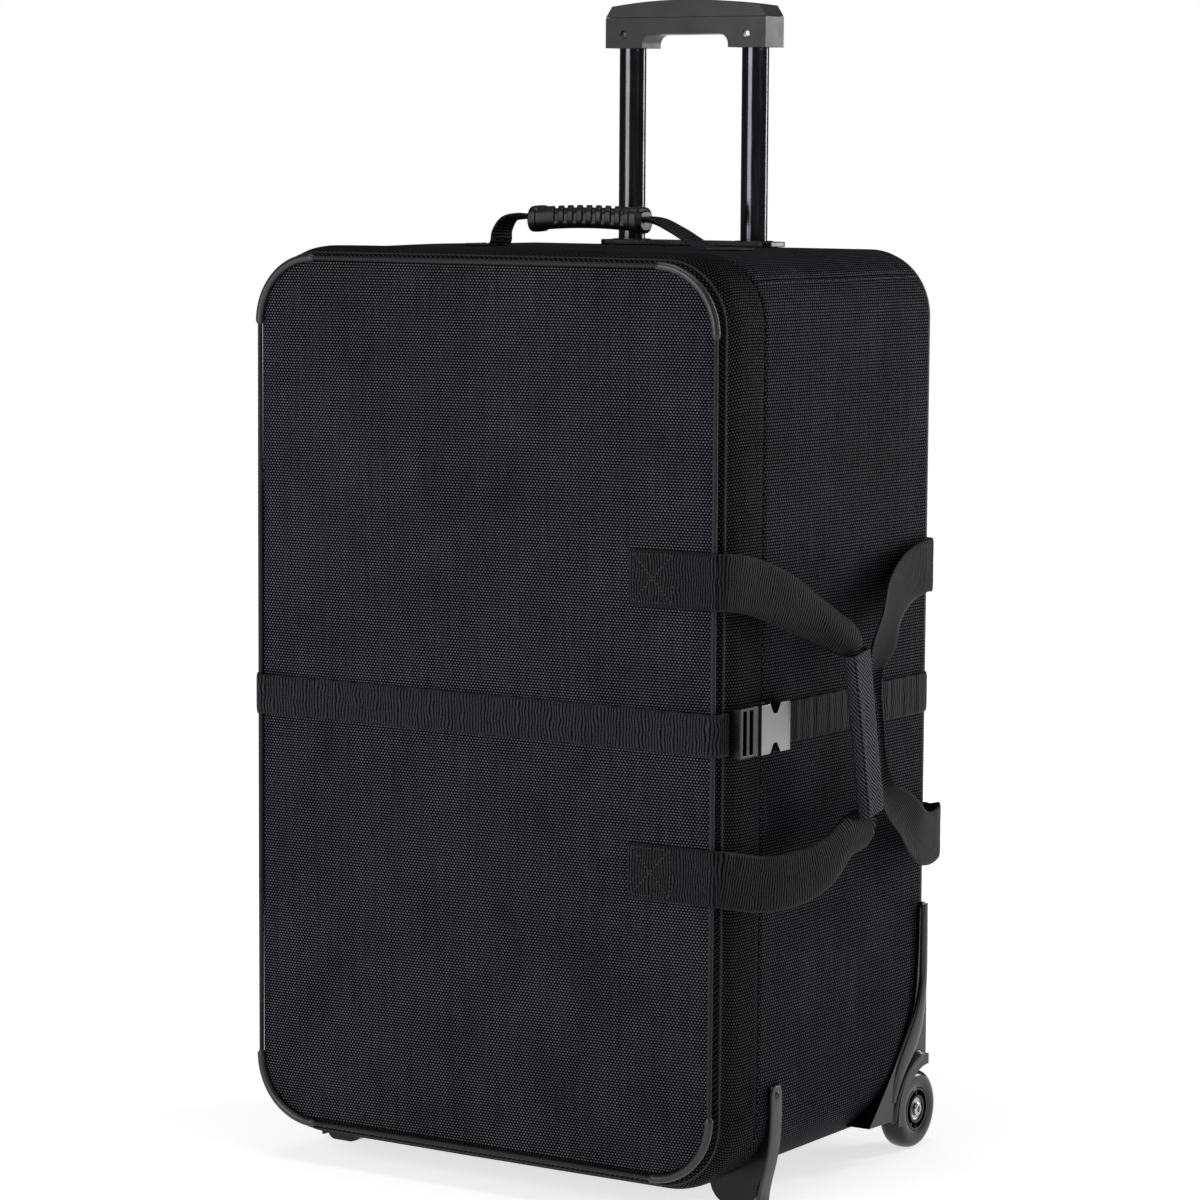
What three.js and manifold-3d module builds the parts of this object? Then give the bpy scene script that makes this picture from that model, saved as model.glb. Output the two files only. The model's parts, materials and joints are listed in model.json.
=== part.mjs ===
// A wheeled equipment case: a rigid frame covered in ballistic nylon, with an attache-style lid on a fabric
// hinge, a closing belt with a side-release buckle, a top handle, a pair of webbing grab loops and a
// telescoping trolley. Millimetres, +Z up, floor at z = 0. The lid faces -Y and the grab loops are on +X.
import * as THREE from "three";
import { mergeVertices } from "three/addons/utils/BufferGeometryUtils.js";
import Module from "manifold-3d";

const wasm = await Module();
wasm.setup();

// ---------------------------------------------------------------- driving dimensions
const CASE_WIDTH = 508; // over the side covers
const CASE_HEIGHT = 836; // over the top and bottom covers
const CASE_DEPTH = 382; // lid face piping to back cover
const GROUND_GAP = 26; // bottom cover above the floor
const CORNER_RADIUS = 62; // outer corner of the case, seen from the front
const LID_DEPTH = 76; // how far back the lid's gusset reaches
const COVER = 1.2; // nylon cover
const FRAME_WALL = 5; // tray's rigid wall
const LID_WALL = 3; // lid gusset's rigid wall
const LID_BOARD = 4;
const BACK_BOARD = 4;
const LID_FOAM = 18;
const LINER = 12; // foam liner
const FALSE_BACK = 4; // board that hides the trolley tubes
const LIP_LENGTH = 22; // liner lip that enters the lid
const PIPING = 5; // piping section
const PIPING_INSET = { side: 5, top: 9, bottom: 14 }; // piping line inside the case's outline
const CORNER_COVER_REACH = 65; // piping corner cover, along each side
const TUBE_DIAMETER = 26; // sliding trolley tube
const TUBE_WALL = 1.5;
const TUBE_SPACING = 139;
const TUBE_OVERLAP = 240; // tube kept inside the case when extended
const TROLLEY_TRAVEL = 184;
const WHEEL_DIAMETER = 76;
const WHEEL_WIDTH = 24;
const BELT_WIDTH = 38;
const STRAP_WIDTH = 50.8; // grab loops and their patches
const STRAP = 1.8; // webbing thickness
const BUTTON_TRAVEL = 4;
const HANDLE_WIDTH = 38; // webbing of the top handle
const SLEEVE_LENGTH = 150; // sleeve that gathers the grab loop

// ---------------------------------------------------------------- clearances
const FIT = 0.3; // between pieces that touch
const RUNNING = 0.5; // between pieces that slide or turn
const LID_SEAM = 0.6; // between the lid's rim and the tray's rim
const WELL_GAP = 8; // round the wheel

// ---------------------------------------------------------------- places worked out from them
const HALF_WIDTH = CASE_WIDTH / 2;
const FRONT_Y = -CASE_DEPTH / 2;
const BACK_Y = CASE_DEPTH / 2;
const BOTTOM_Z = GROUND_GAP;
const TOP_Z = GROUND_GAP + CASE_HEIGHT;
const SEAM_Y = FRONT_Y + LID_DEPTH;
const TRAY_FRONT_Y = SEAM_Y + LID_SEAM / 2;
const LID_REAR_Y = SEAM_Y - LID_SEAM / 2;
const FACE_Y = FRONT_Y + PIPING / 2 + FIT; // lid's nylon face, under the piping
const FRAME_INSET = COVER + FIT;
const LINER_INSET = FRAME_INSET + FRAME_WALL + FIT;
const INSIDE_INSET = LINER_INSET + LINER;
const BACK_BOARD_Y = BACK_Y - COVER - FIT - BACK_BOARD;
const OUTER_TUBE_BORE = TUBE_DIAMETER + 2 * RUNNING;
const OUTER_TUBE_DIAMETER = OUTER_TUBE_BORE + 2 * TUBE_WALL;
const TUBE_Y = BACK_BOARD_Y - RUNNING - OUTER_TUBE_DIAMETER / 2;
const TUBE_X = TUBE_SPACING / 2;
const FALSE_BACK_Y = TUBE_Y - OUTER_TUBE_DIAMETER / 2 - RUNNING - FALSE_BACK;
const WHEEL_RADIUS = WHEEL_DIAMETER / 2;
const WHEEL_Y = BACK_Y;
const WHEEL_OUT_X = HALF_WIDTH - 3;
const WHEEL_IN_X = WHEEL_OUT_X - WHEEL_WIDTH;
const WELL_RADIUS = WHEEL_RADIUS + WELL_GAP;
const BRACKET_WALL = 4;
const BRACKET_PROUD = 4; // past the side cover
const WHEEL_SIDE_GAP = 4; // wheel to the bracket's cup
const BRACKET_IN_X = WHEEL_IN_X - BRACKET_WALL - WHEEL_SIDE_GAP;
const BELT_Z = BOTTOM_Z + CASE_HEIGHT / 2;
const FAR = 20; // how far a cut runs past what it cuts

const MATERIALS = {
  nylon: { color: 0x17171a, roughness: 0.85 },
  webbing: { color: 0x1a1a1c, roughness: 0.8 },
  board: { color: 0x5a5a58, roughness: 0.7 },
  foam: { color: 0x2a2c30, roughness: 0.95 },
  liner: { color: 0x33363c, roughness: 0.9 },
  piping: { color: 0x141416, roughness: 0.7 },
  trim: { color: 0x3a3b3e, roughness: 0.45 },
  moulded: { color: 0x161617, roughness: 0.5 },
  gloss: { color: 0x0c0c0d, roughness: 0.15 },
  grip: { color: 0x1c1c1e, roughness: 0.6 },
  tube: { color: 0x101012, roughness: 0.2, metalness: 0.9 },
  steel: { color: 0xb8babd, roughness: 0.3, metalness: 1 },
  dark_steel: { color: 0x2c2c2e, roughness: 0.4, metalness: 1 },
  tyre: { color: 0x121213, roughness: 0.55 },
};
for (const name of Object.keys(MATERIALS)) {
  MATERIALS[name] = new THREE.MeshStandardMaterial({ name, metalness: 0, ...MATERIALS[name] });
}

// ---------------------------------------------------------------- solids
// A closed geometry, with its shared vertices merged, as a manifold solid.
function solid(geometry) {
  const bare = geometry.index ? geometry.toNonIndexed() : geometry;
  const positions = new THREE.BufferGeometry();
  positions.setAttribute("position", bare.getAttribute("position"));
  const merged = mergeVertices(positions, 1e-4);
  const vertProperties = merged.attributes.position.array;
  const triVerts = new Uint32Array(merged.index.array);
  return new wasm.Manifold(new wasm.Mesh({ numProp: 3, vertProperties, triVerts }));
}

// A solid as a named mesh.
function part(name, body, material) {
  const mesh = body.getMesh();
  const geometry = new THREE.BufferGeometry();
  geometry.setAttribute("position", new THREE.BufferAttribute(mesh.vertProperties, 3));
  geometry.setIndex(new THREE.BufferAttribute(mesh.triVerts, 1));
  geometry.computeVertexNormals();
  const made = new THREE.Mesh(geometry, MATERIALS[material]);
  made.name = name;
  return made;
}

const join = (first, ...others) => others.reduce((a, b) => a.add(b), first);
const cut = (first, ...others) => others.reduce((a, b) => a.subtract(b), first);
const common = (a, b) => a.intersect(b);

function box(x0, x1, y0, y1, z0, z1) {
  const geometry = new THREE.BoxGeometry(x1 - x0, y1 - y0, z1 - z0);
  geometry.translate((x0 + x1) / 2, (y0 + y1) / 2, (z0 + z1) / 2);
  return solid(geometry);
}

// A cylinder along Z, X or Y between two stations.
function cylinderZ(radius, x, y, z0, z1, segments = 24) {
  const geometry = new THREE.CylinderGeometry(radius, radius, z1 - z0, segments);
  geometry.rotateX(Math.PI / 2).translate(x, y, (z0 + z1) / 2);
  return solid(geometry);
}

function cylinderX(radius, x0, x1, y, z, segments = 24) {
  const geometry = new THREE.CylinderGeometry(radius, radius, x1 - x0, segments);
  geometry.rotateZ(Math.PI / 2).translate((x0 + x1) / 2, y, z);
  return solid(geometry);
}

function cylinderY(radius, x, y0, y1, z, segments = 24) {
  const geometry = new THREE.CylinderGeometry(radius, radius, y1 - y0, segments);
  geometry.translate(x, (y0 + y1) / 2, z);
  return solid(geometry);
}

// A front-view outline (x, z) carried along Y.
function prismY(shape, y0, y1, curveSegments = 6) {
  const geometry = new THREE.ExtrudeGeometry(shape, { depth: y1 - y0, bevelEnabled: false, curveSegments });
  geometry.rotateX(Math.PI / 2).translate(0, y1, 0);
  return solid(geometry);
}

// A side-view outline (y, z) carried along X.
function prismX(shape, x0, x1, curveSegments = 6) {
  const geometry = new THREE.ExtrudeGeometry(shape, { depth: x1 - x0, bevelEnabled: false, curveSegments });
  const turn = new THREE.Matrix4().makeBasis(
    new THREE.Vector3(0, 1, 0),
    new THREE.Vector3(0, 0, 1),
    new THREE.Vector3(1, 0, 0),
  );
  geometry.applyMatrix4(turn).translate(x0, 0, 0);
  return solid(geometry);
}

// A plan outline (x, y) carried along Z.
function prismZ(shape, z0, z1, curveSegments = 6) {
  const geometry = new THREE.ExtrudeGeometry(shape, { depth: z1 - z0, bevelEnabled: false, curveSegments });
  geometry.translate(0, 0, z0);
  return solid(geometry);
}

function polygon(points) {
  return new THREE.Shape(points.map(([u, v]) => new THREE.Vector2(u, v)));
}

function roundedRectangle(u0, u1, v0, v1, radius) {
  const shape = new THREE.Shape();
  shape.moveTo(u0 + radius, v0);
  shape.lineTo(u1 - radius, v0);
  shape.absarc(u1 - radius, v0 + radius, radius, -Math.PI / 2, 0, false);
  shape.lineTo(u1, v1 - radius);
  shape.absarc(u1 - radius, v1 - radius, radius, 0, Math.PI / 2, false);
  shape.lineTo(u0 + radius, v1);
  shape.absarc(u0 + radius, v1 - radius, radius, Math.PI / 2, Math.PI, false);
  shape.lineTo(u0, v0 + radius);
  shape.absarc(u0 + radius, v0 + radius, radius, Math.PI, 1.5 * Math.PI, false);
  return shape;
}

// The case's outline from the front, drawn in by an inset.
function caseOutline(inset) {
  const radius = CORNER_RADIUS - inset;
  return roundedRectangle(-HALF_WIDTH + inset, HALF_WIDTH - inset, BOTTOM_Z + inset, TOP_Z - inset, radius);
}

// The piping's centre line from the front, drawn in by an inset.
function pipingOutline(inset) {
  const side = HALF_WIDTH - PIPING_INSET.side - inset;
  const low = BOTTOM_Z + PIPING_INSET.bottom + inset;
  const high = TOP_Z - PIPING_INSET.top - inset;
  return roundedRectangle(-side, side, low, high, CORNER_RADIUS - 2 - inset);
}

// A solid turned round the X axis line at (y, z), from a closed profile of (radius, x) points.
function turned(profile, y, z, segments) {
  const loop = [...profile, profile[0]];
  const area = loop.slice(1).reduce((sum, [r, x], i) => sum + loop[i][0] * x - r * loop[i][1], 0);
  if (area < 0) loop.reverse();
  const points = loop.map(([r, x]) => new THREE.Vector2(r, x));
  const geometry = new THREE.LatheGeometry(points, segments);
  geometry.rotateZ(-Math.PI / 2).translate(0, y, z);
  return solid(geometry);
}

// Flat webbing along a smooth line. Each station is [x, y, z, width, [direction of the width], thickness].
function webbing(stations, steps) {
  const line = new THREE.CatmullRomCurve3(stations.map(([x, y, z]) => new THREE.Vector3(x, y, z)), false, "centripetal");
  const positions = [];
  const indices = [];
  for (let i = 0; i <= steps; i++) {
    const t = i / steps;
    const at = t * (stations.length - 1);
    const a = stations[Math.min(Math.floor(at), stations.length - 2)];
    const b = stations[Math.min(Math.floor(at), stations.length - 2) + 1];
    const mix = at - Math.min(Math.floor(at), stations.length - 2);
    const half = THREE.MathUtils.lerp(a[3], b[3], mix) / 2;
    const thick = THREE.MathUtils.lerp(a[5], b[5], mix) / 2;
    const point = line.getPoint(t);
    const tangent = line.getTangent(t);
    const wide = new THREE.Vector3(...a[4]).lerp(new THREE.Vector3(...b[4]), mix);
    wide.addScaledVector(tangent, -wide.dot(tangent)).normalize();
    const normal = new THREE.Vector3().crossVectors(tangent, wide);
    for (const [u, v] of [[1, 1], [-1, 1], [-1, -1], [1, -1]]) {
      const corner = point.clone().addScaledVector(wide, u * half).addScaledVector(normal, v * thick);
      positions.push(corner.x, corner.y, corner.z);
    }
    for (let k = 0; i > 0 && k < 4; k++) {
      const low = 4 * (i - 1);
      const next = (k + 1) % 4;
      indices.push(low + k, low + next, low + 4 + next, low + k, low + 4 + next, low + 4 + k);
    }
  }
  const last = 4 * steps;
  indices.push(0, 3, 2, 0, 2, 1, last, last + 1, last + 2, last, last + 2, last + 3);
  const geometry = new THREE.BufferGeometry();
  geometry.setAttribute("position", new THREE.Float32BufferAttribute(positions, 3));
  geometry.setIndex(indices);
  return solid(geometry);
}

const mirrored = (body) => body.mirror([1, 0, 0]);

const caseGroup = new THREE.Group();
const add = (...meshes) => caseGroup.add(...meshes);

// ---------------------------------------------------------------- wheel wells and the holes through the tray
// Each lower rear corner of the tray is cut away round its wheel.
const rightWell = cylinderX(WELL_RADIUS + BRACKET_WALL + FIT, BRACKET_IN_X - FIT, HALF_WIDTH + FAR, WHEEL_Y, WHEEL_RADIUS, 32);
const wells = join(rightWell, mirrored(rightWell));
const tubeHoles = join(
  ...[-TUBE_X, TUBE_X].map((x) =>
    cylinderZ(OUTER_TUBE_DIAMETER / 2 + FIT, x, TUBE_Y, TOP_Z - INSIDE_INSET, TOP_Z + FAR, 28),
  ),
);

// ---------------------------------------------------------------- tray
const trayCover = cut(
  prismY(caseOutline(0), TRAY_FRONT_Y, BACK_Y),
  prismY(caseOutline(COVER), TRAY_FRONT_Y - FAR, BACK_Y - COVER),
  wells,
  tubeHoles,
);
const trayFrame = cut(
  prismY(caseOutline(FRAME_INSET), TRAY_FRONT_Y, BACK_Y - COVER - FIT),
  prismY(caseOutline(FRAME_INSET + FRAME_WALL), TRAY_FRONT_Y - FAR, BACK_Y),
  wells,
  tubeHoles,
);
const backBoard = cut(prismY(caseOutline(LINER_INSET), BACK_BOARD_Y, BACK_BOARD_Y + BACK_BOARD), wells);
const falseBack = cut(prismY(caseOutline(LINER_INSET), FALSE_BACK_Y, FALSE_BACK_Y + FALSE_BACK), wells);
add(
  part("tray_cover", trayCover, "nylon"),
  part("tray_frame", trayFrame, "board"),
  part("back_board", backBoard, "board"),
  part("liner_back", falseBack, "liner"),
);

// Foam liners line the straight stretches and stand past the tray's rim as a lip that the lid closes over.
const LIP_Y = SEAM_Y - LIP_LENGTH;
const LINER_REAR_Y = FALSE_BACK_Y - FIT;
const flatX = HALF_WIDTH - CORNER_RADIUS;
const sideLiner = box(
  HALF_WIDTH - INSIDE_INSET,
  HALF_WIDTH - LINER_INSET,
  LIP_Y,
  LINER_REAR_Y,
  BOTTOM_Z + CORNER_RADIUS,
  TOP_Z - CORNER_RADIUS,
);
add(
  part("liner_right", sideLiner, "liner"),
  part("liner_left", mirrored(sideLiner), "liner"),
  part(
    "liner_top",
    box(-flatX, flatX, LIP_Y, LINER_REAR_Y, TOP_Z - INSIDE_INSET, TOP_Z - LINER_INSET),
    "liner",
  ),
  part(
    "liner_bottom",
    box(-flatX, flatX, LIP_Y, LINER_REAR_Y, BOTTOM_Z + LINER_INSET, BOTTOM_Z + INSIDE_INSET),
    "liner",
  ),
);

// ---------------------------------------------------------------- lid
const lidCover = cut(
  prismY(caseOutline(0), FACE_Y, LID_REAR_Y),
  prismY(caseOutline(COVER), FACE_Y + COVER, LID_REAR_Y + FAR),
);
const lidGusset = cut(
  prismY(caseOutline(FRAME_INSET), FACE_Y + COVER + FIT, LID_REAR_Y),
  prismY(caseOutline(FRAME_INSET + LID_WALL), FACE_Y, LID_REAR_Y + FAR),
);
const LID_BOARD_Y = FACE_Y + COVER + FIT;
const lidBoardInset = FRAME_INSET + LID_WALL + FIT;
const lidBoard = prismY(caseOutline(lidBoardInset), LID_BOARD_Y, LID_BOARD_Y + LID_BOARD);
const LID_FOAM_Y = LID_BOARD_Y + LID_BOARD + FIT;
const lidFoam = prismY(caseOutline(INSIDE_INSET), LID_FOAM_Y, LID_FOAM_Y + LID_FOAM);
add(
  part("lid_cover", lidCover, "nylon"),
  part("lid_gusset_frame", lidGusset, "board"),
  part("lid_board", lidBoard, "board"),
  part("lid_foam", lidFoam, "foam"),
);

// Piping runs round the lid's face, and a moulded cover sits over it at each corner.
const pipingFront = FACE_Y - FIT - PIPING;
const piping = cut(
  prismY(pipingOutline(-PIPING / 2), pipingFront, pipingFront + PIPING, 8),
  prismY(pipingOutline(PIPING / 2), pipingFront - FAR, FACE_Y + FAR, 8),
);
const coverWall = 1;
const coverRing = cut(
  prismY(pipingOutline(-PIPING / 2 - FIT - coverWall), pipingFront - FIT - coverWall, FACE_Y - FIT, 8),
  prismY(pipingOutline(PIPING / 2 + FIT + coverWall), pipingFront - FAR, FACE_Y + FAR, 8),
  cut(
    prismY(pipingOutline(-PIPING / 2 - FIT), pipingFront - FIT, FACE_Y + FAR, 8),
    prismY(pipingOutline(PIPING / 2 + FIT), pipingFront - FAR, FACE_Y + 2 * FAR, 8),
  ),
);
add(part("lid_piping", piping, "piping"));
const pipingSide = HALF_WIDTH - PIPING_INSET.side;
const cornerSpans = {
  top: [TOP_Z - PIPING_INSET.top - CORNER_COVER_REACH, TOP_Z + FAR],
  bottom: [BOTTOM_Z - FAR, BOTTOM_Z + PIPING_INSET.bottom + CORNER_COVER_REACH],
};
for (const [height, [z0, z1]] of Object.entries(cornerSpans)) {
  const region = box(pipingSide - CORNER_COVER_REACH, HALF_WIDTH + FAR, pipingFront - FAR, FACE_Y, z0, z1);
  const corner = common(coverRing, region);
  add(
    part("piping_corner_" + height + "_right", corner, "trim"),
    part("piping_corner_" + height + "_left", mirrored(corner), "trim"),
  );
}

// ---------------------------------------------------------------- fabric hinge, on the tray's left edge
const HINGE_STRIP_WIDTH = 26;
const FOOT_STRIP_TOP = 88; // top of each front foot's side strip, above the bottom cover
const hingeStrip = box(
  -HALF_WIDTH - FIT - COVER,
  -HALF_WIDTH - FIT,
  TRAY_FRONT_Y + 1,
  TRAY_FRONT_Y + HINGE_STRIP_WIDTH,
  BOTTOM_Z + FOOT_STRIP_TOP + 12,
  TOP_Z - CORNER_RADIUS,
);

// ---------------------------------------------------------------- closing belt and buckle
const beltLow = BELT_Z - BELT_WIDTH / 2;
const beltHigh = BELT_Z + BELT_WIDTH / 2;
const beltX = HALF_WIDTH + FIT + COVER + FIT; // inner face, clear of the hinge strip
const BUCKLE_MOUTH_Y = SEAM_Y - 24;
const SOCKET_LENGTH = 50;
const PLUG_LENGTH = 33;
const beltFrontY = pipingFront - coverWall - 2 * FIT; // inner face, clear of the piping's covers
const plugFrontY = BUCKLE_MOUTH_Y - FIT - PLUG_LENGTH;
const lidBelt = prismZ(
  polygon([
    [-beltX, LID_REAR_Y],
    [-beltX, FRONT_Y],
    [-beltX + 6, beltFrontY],
    [beltX - 6, beltFrontY],
    [beltX, FRONT_Y],
    [beltX, plugFrontY - RUNNING],
    [beltX + STRAP, plugFrontY - RUNNING],
    [beltX + STRAP, FRONT_Y - 1],
    [beltX - 5, beltFrontY - STRAP],
    [-beltX + 5, beltFrontY - STRAP],
    [-beltX - STRAP, FRONT_Y - 1],
    [-beltX - STRAP, LID_REAR_Y],
  ]),
  beltLow,
  beltHigh,
);
const beltBackY = BACK_Y + FIT;
const trayBelt = prismZ(
  polygon([
    [-beltX, TRAY_FRONT_Y],
    [-beltX, beltBackY],
    [beltX, beltBackY],
    [beltX, BUCKLE_MOUTH_Y + SOCKET_LENGTH + FIT],
    [beltX + STRAP, BUCKLE_MOUTH_Y + SOCKET_LENGTH + FIT],
    [beltX + STRAP, beltBackY + STRAP],
    [-beltX - STRAP, beltBackY + STRAP],
    [-beltX - STRAP, TRAY_FRONT_Y],
  ]),
  beltLow,
  beltHigh,
);

// The socket is a flat box with a mouth for the plug's prongs and a notch above and below where they latch.
const SOCKET_HALF = BELT_WIDTH / 2 + 3.3;
const socketX = HALF_WIDTH + 2 * FIT;
const plugX = beltX + STRAP + RUNNING; // clear of the belt beside it
const PLUG_THICKNESS = 8;
const prongX = [plugX + 1.2, plugX + PLUG_THICKNESS - 2];
const prongHalf = BELT_WIDTH / 2 - 4;
const prongLength = 31;
const socketOutX = plugX + PLUG_THICKNESS + 2;
// A latch of the plug shows in each of the socket's two notches, wide at the edge and narrow at the root.
const LATCH_MOUTH = [15, 33];
const LATCH_ROOT = [21, 27];
const LATCH_DEPTH = 9;
const SOCKET_BACK = 3;
const latchNotch = (side) => {
  const edgeZ = BELT_Z + side * (SOCKET_HALF + FAR);
  const mouthZ = BELT_Z + side * SOCKET_HALF;
  const rootZ = BELT_Z + side * (SOCKET_HALF - LATCH_DEPTH);
  const outline = new THREE.Shape();
  outline.moveTo(BUCKLE_MOUTH_Y + LATCH_MOUTH[0], edgeZ);
  outline.lineTo(BUCKLE_MOUTH_Y + LATCH_MOUTH[0], mouthZ);
  outline.lineTo(BUCKLE_MOUTH_Y + LATCH_ROOT[0], rootZ);
  outline.lineTo(BUCKLE_MOUTH_Y + LATCH_ROOT[1], rootZ);
  outline.lineTo(BUCKLE_MOUTH_Y + LATCH_MOUTH[1], mouthZ);
  outline.lineTo(BUCKLE_MOUTH_Y + LATCH_MOUTH[1], edgeZ);
  return prismX(outline, socketX + SOCKET_BACK, socketOutX + FAR, 1);
};
const socket = cut(
  box(socketX, socketOutX, BUCKLE_MOUTH_Y, BUCKLE_MOUTH_Y + SOCKET_LENGTH, BELT_Z - SOCKET_HALF, BELT_Z + SOCKET_HALF),
  box(
    prongX[0] - 1,
    prongX[1] + 1,
    BUCKLE_MOUTH_Y - FAR,
    BUCKLE_MOUTH_Y + prongLength + 4,
    BELT_Z - prongHalf - 1,
    BELT_Z + prongHalf + 1,
  ),
  ...[-1, 1].map(latchNotch),
);
const ladderHalf = BELT_WIDTH / 2 + 0.7;
const plugBar = 5;
const plug = join(
  cut(
    box(plugX, plugX + PLUG_THICKNESS, plugFrontY, plugFrontY + PLUG_LENGTH, BELT_Z - SOCKET_HALF, BELT_Z + SOCKET_HALF),
    ...[0, 1].map((slot) => {
      const y = plugFrontY + plugBar + slot * (plugBar + 6);
      return box(plugX - FAR, plugX + FAR, y, y + 6, BELT_Z - ladderHalf, BELT_Z + ladderHalf);
    }),
  ),
  ...[-1, 1].map((side) => {
    const centre = BELT_Z + side * (prongHalf - 3);
    const y0 = plugFrontY + PLUG_LENGTH;
    return box(prongX[0], prongX[1], y0 - 1, y0 + prongLength, centre - 3, centre + 3);
  }),
);
add(
  part("lid_hinge_strip", hingeStrip, "nylon"),
  part("belt_lid", lidBelt, "webbing"),
  part("belt_tray", trayBelt, "webbing"),
  part("buckle_socket", socket, "gloss"),
  part("buckle_plug", plug, "gloss"),
);

// ---------------------------------------------------------------- trolley
const PLATE = 5;
const PLATE_MARGIN = 12;
const plateTopZ = TOP_Z + FIT + PLATE;
const trolleyBaseZ = BOTTOM_Z + LINER_INSET + FIT;
const TROLLEY_BASE_HEIGHT = 32;
const tubeFloorZ = trolleyBaseZ + 12;
const plateShape = roundedRectangle(
  -TUBE_X - OUTER_TUBE_DIAMETER / 2 - PLATE_MARGIN,
  TUBE_X + OUTER_TUBE_DIAMETER / 2 + PLATE_MARGIN,
  TUBE_Y - OUTER_TUBE_DIAMETER / 2 - 5,
  TUBE_Y + OUTER_TUBE_DIAMETER / 2 + 5,
  9,
);
const topPlate = cut(
  prismZ(plateShape, TOP_Z + FIT, plateTopZ),
  ...[-TUBE_X, TUBE_X].map((x) =>
    cylinderZ(TUBE_DIAMETER / 2 + RUNNING, x, TUBE_Y, TOP_Z - FAR, plateTopZ + FAR, 28),
  ),
);
const trolleyBase = cut(
  box(
    -TUBE_X - 24,
    TUBE_X + 24,
    FALSE_BACK_Y + FALSE_BACK + FIT,
    BACK_BOARD_Y - FIT,
    trolleyBaseZ,
    trolleyBaseZ + TROLLEY_BASE_HEIGHT,
  ),
  ...[-TUBE_X, TUBE_X].map((x) =>
    cylinderZ(OUTER_TUBE_DIAMETER / 2 + FIT, x, TUBE_Y, tubeFloorZ - FIT, trolleyBaseZ + 60, 28),
  ),
);
add(part("trolley_top_plate", topPlate, "moulded"), part("trolley_base", trolleyBase, "moulded"));

// The grip: two halves split at a level line, with a sunk channel for the release bar.
const gripLegZ = plateTopZ + TROLLEY_TRAVEL + 1;
const GRIP_WALL = 4; // in front of and behind each tube
const GRIP_DEPTH = TUBE_DIAMETER + 2 * GRIP_WALL;
const LEG_WIDTH = TUBE_DIAMETER + 16;
const gripHalf = TUBE_X + LEG_WIDTH / 2;
const legInner = TUBE_X - LEG_WIDTH / 2;
const GRIP_LOWER = 29; // leg end to parting line
const CROSSBAR_LOWER = 16;
const GRIP_FILLET = 10;
const GRIP_SHOULDER = 11; // parting line to the shoulders
const GRIP_CROWN = 17; // parting line to the crown
const partingZ = gripLegZ + GRIP_LOWER;
const gripUnderZ = partingZ - CROSSBAR_LOWER;
const BAR_HEIGHT = 6;
const barTopZ = partingZ - 1;
const barLowZ = barTopZ - BAR_HEIGHT;
const channelFloorZ = barLowZ - BUTTON_TRAVEL - RUNNING;
const tubeTopZ = channelFloorZ - 1;
const tubeLowZ = TOP_Z - TUBE_OVERLAP;
const ROD_RADIUS = 2.5;
const BAR_HALF = 3.5; // half the release bar's thickness
const lowerShape = new THREE.Shape();
lowerShape.moveTo(-gripHalf, gripLegZ);
lowerShape.lineTo(-legInner, gripLegZ);
lowerShape.lineTo(-legInner, gripUnderZ - GRIP_FILLET);
lowerShape.absarc(-legInner + GRIP_FILLET, gripUnderZ - GRIP_FILLET, GRIP_FILLET, Math.PI, Math.PI / 2, true);
lowerShape.lineTo(legInner - GRIP_FILLET, gripUnderZ);
lowerShape.absarc(legInner - GRIP_FILLET, gripUnderZ - GRIP_FILLET, GRIP_FILLET, Math.PI / 2, 0, true);
lowerShape.lineTo(legInner, gripLegZ);
lowerShape.lineTo(gripHalf, gripLegZ);
lowerShape.lineTo(gripHalf, partingZ);
lowerShape.lineTo(-gripHalf, partingZ);
const gripFrontY = TUBE_Y - GRIP_DEPTH / 2;
const gripBackY = TUBE_Y + GRIP_DEPTH / 2;
const screwZ = gripUnderZ;
const SCREW_DEPTH = 2;
const gripLower = cut(
  prismY(lowerShape, gripFrontY, gripBackY),
  box(
    -TUBE_X - BAR_HALF - RUNNING,
    TUBE_X + BAR_HALF + RUNNING,
    TUBE_Y - BAR_HALF - RUNNING,
    TUBE_Y + BAR_HALF + RUNNING,
    channelFloorZ,
    partingZ + 10,
  ),
  ...[-TUBE_X, TUBE_X].flatMap((x) => [
    cylinderZ(TUBE_DIAMETER / 2 + FIT, x, TUBE_Y, gripLegZ - FAR, tubeTopZ + FIT, 28),
    cylinderZ(ROD_RADIUS + RUNNING, x, TUBE_Y, tubeTopZ - 5, channelFloorZ + 5, 16),
    cylinderY(4.2, x, gripFrontY - FAR, gripFrontY + SCREW_DEPTH, screwZ, 16),
  ]),
);
const upperShape = new THREE.Shape();
upperShape.moveTo(-gripHalf, partingZ + FIT);
upperShape.lineTo(gripHalf, partingZ + FIT);
upperShape.lineTo(gripHalf - 7, partingZ + GRIP_SHOULDER);
upperShape.quadraticCurveTo(0, partingZ + 2 * GRIP_CROWN - GRIP_SHOULDER, -gripHalf + 7, partingZ + GRIP_SHOULDER);
const BUTTON_LENGTH = 34;
const BUTTON_WIDTH = 17;
function ellipse(lengthX, lengthY) {
  const shape = new THREE.Shape();
  shape.absellipse(0, TUBE_Y, lengthX / 2, lengthY / 2, 0, 2 * Math.PI, false, 0);
  return shape;
}
const gripUpper = cut(
  prismY(upperShape, gripFrontY, gripBackY, 12),
  prismZ(ellipse(BUTTON_LENGTH + 2 * RUNNING, BUTTON_WIDTH + 2 * RUNNING), partingZ - 10, partingZ + 40, 14),
);
const buttonLowZ = partingZ + BUTTON_TRAVEL + RUNNING;
const buttonTopZ = partingZ + GRIP_CROWN + 1.5;
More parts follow.
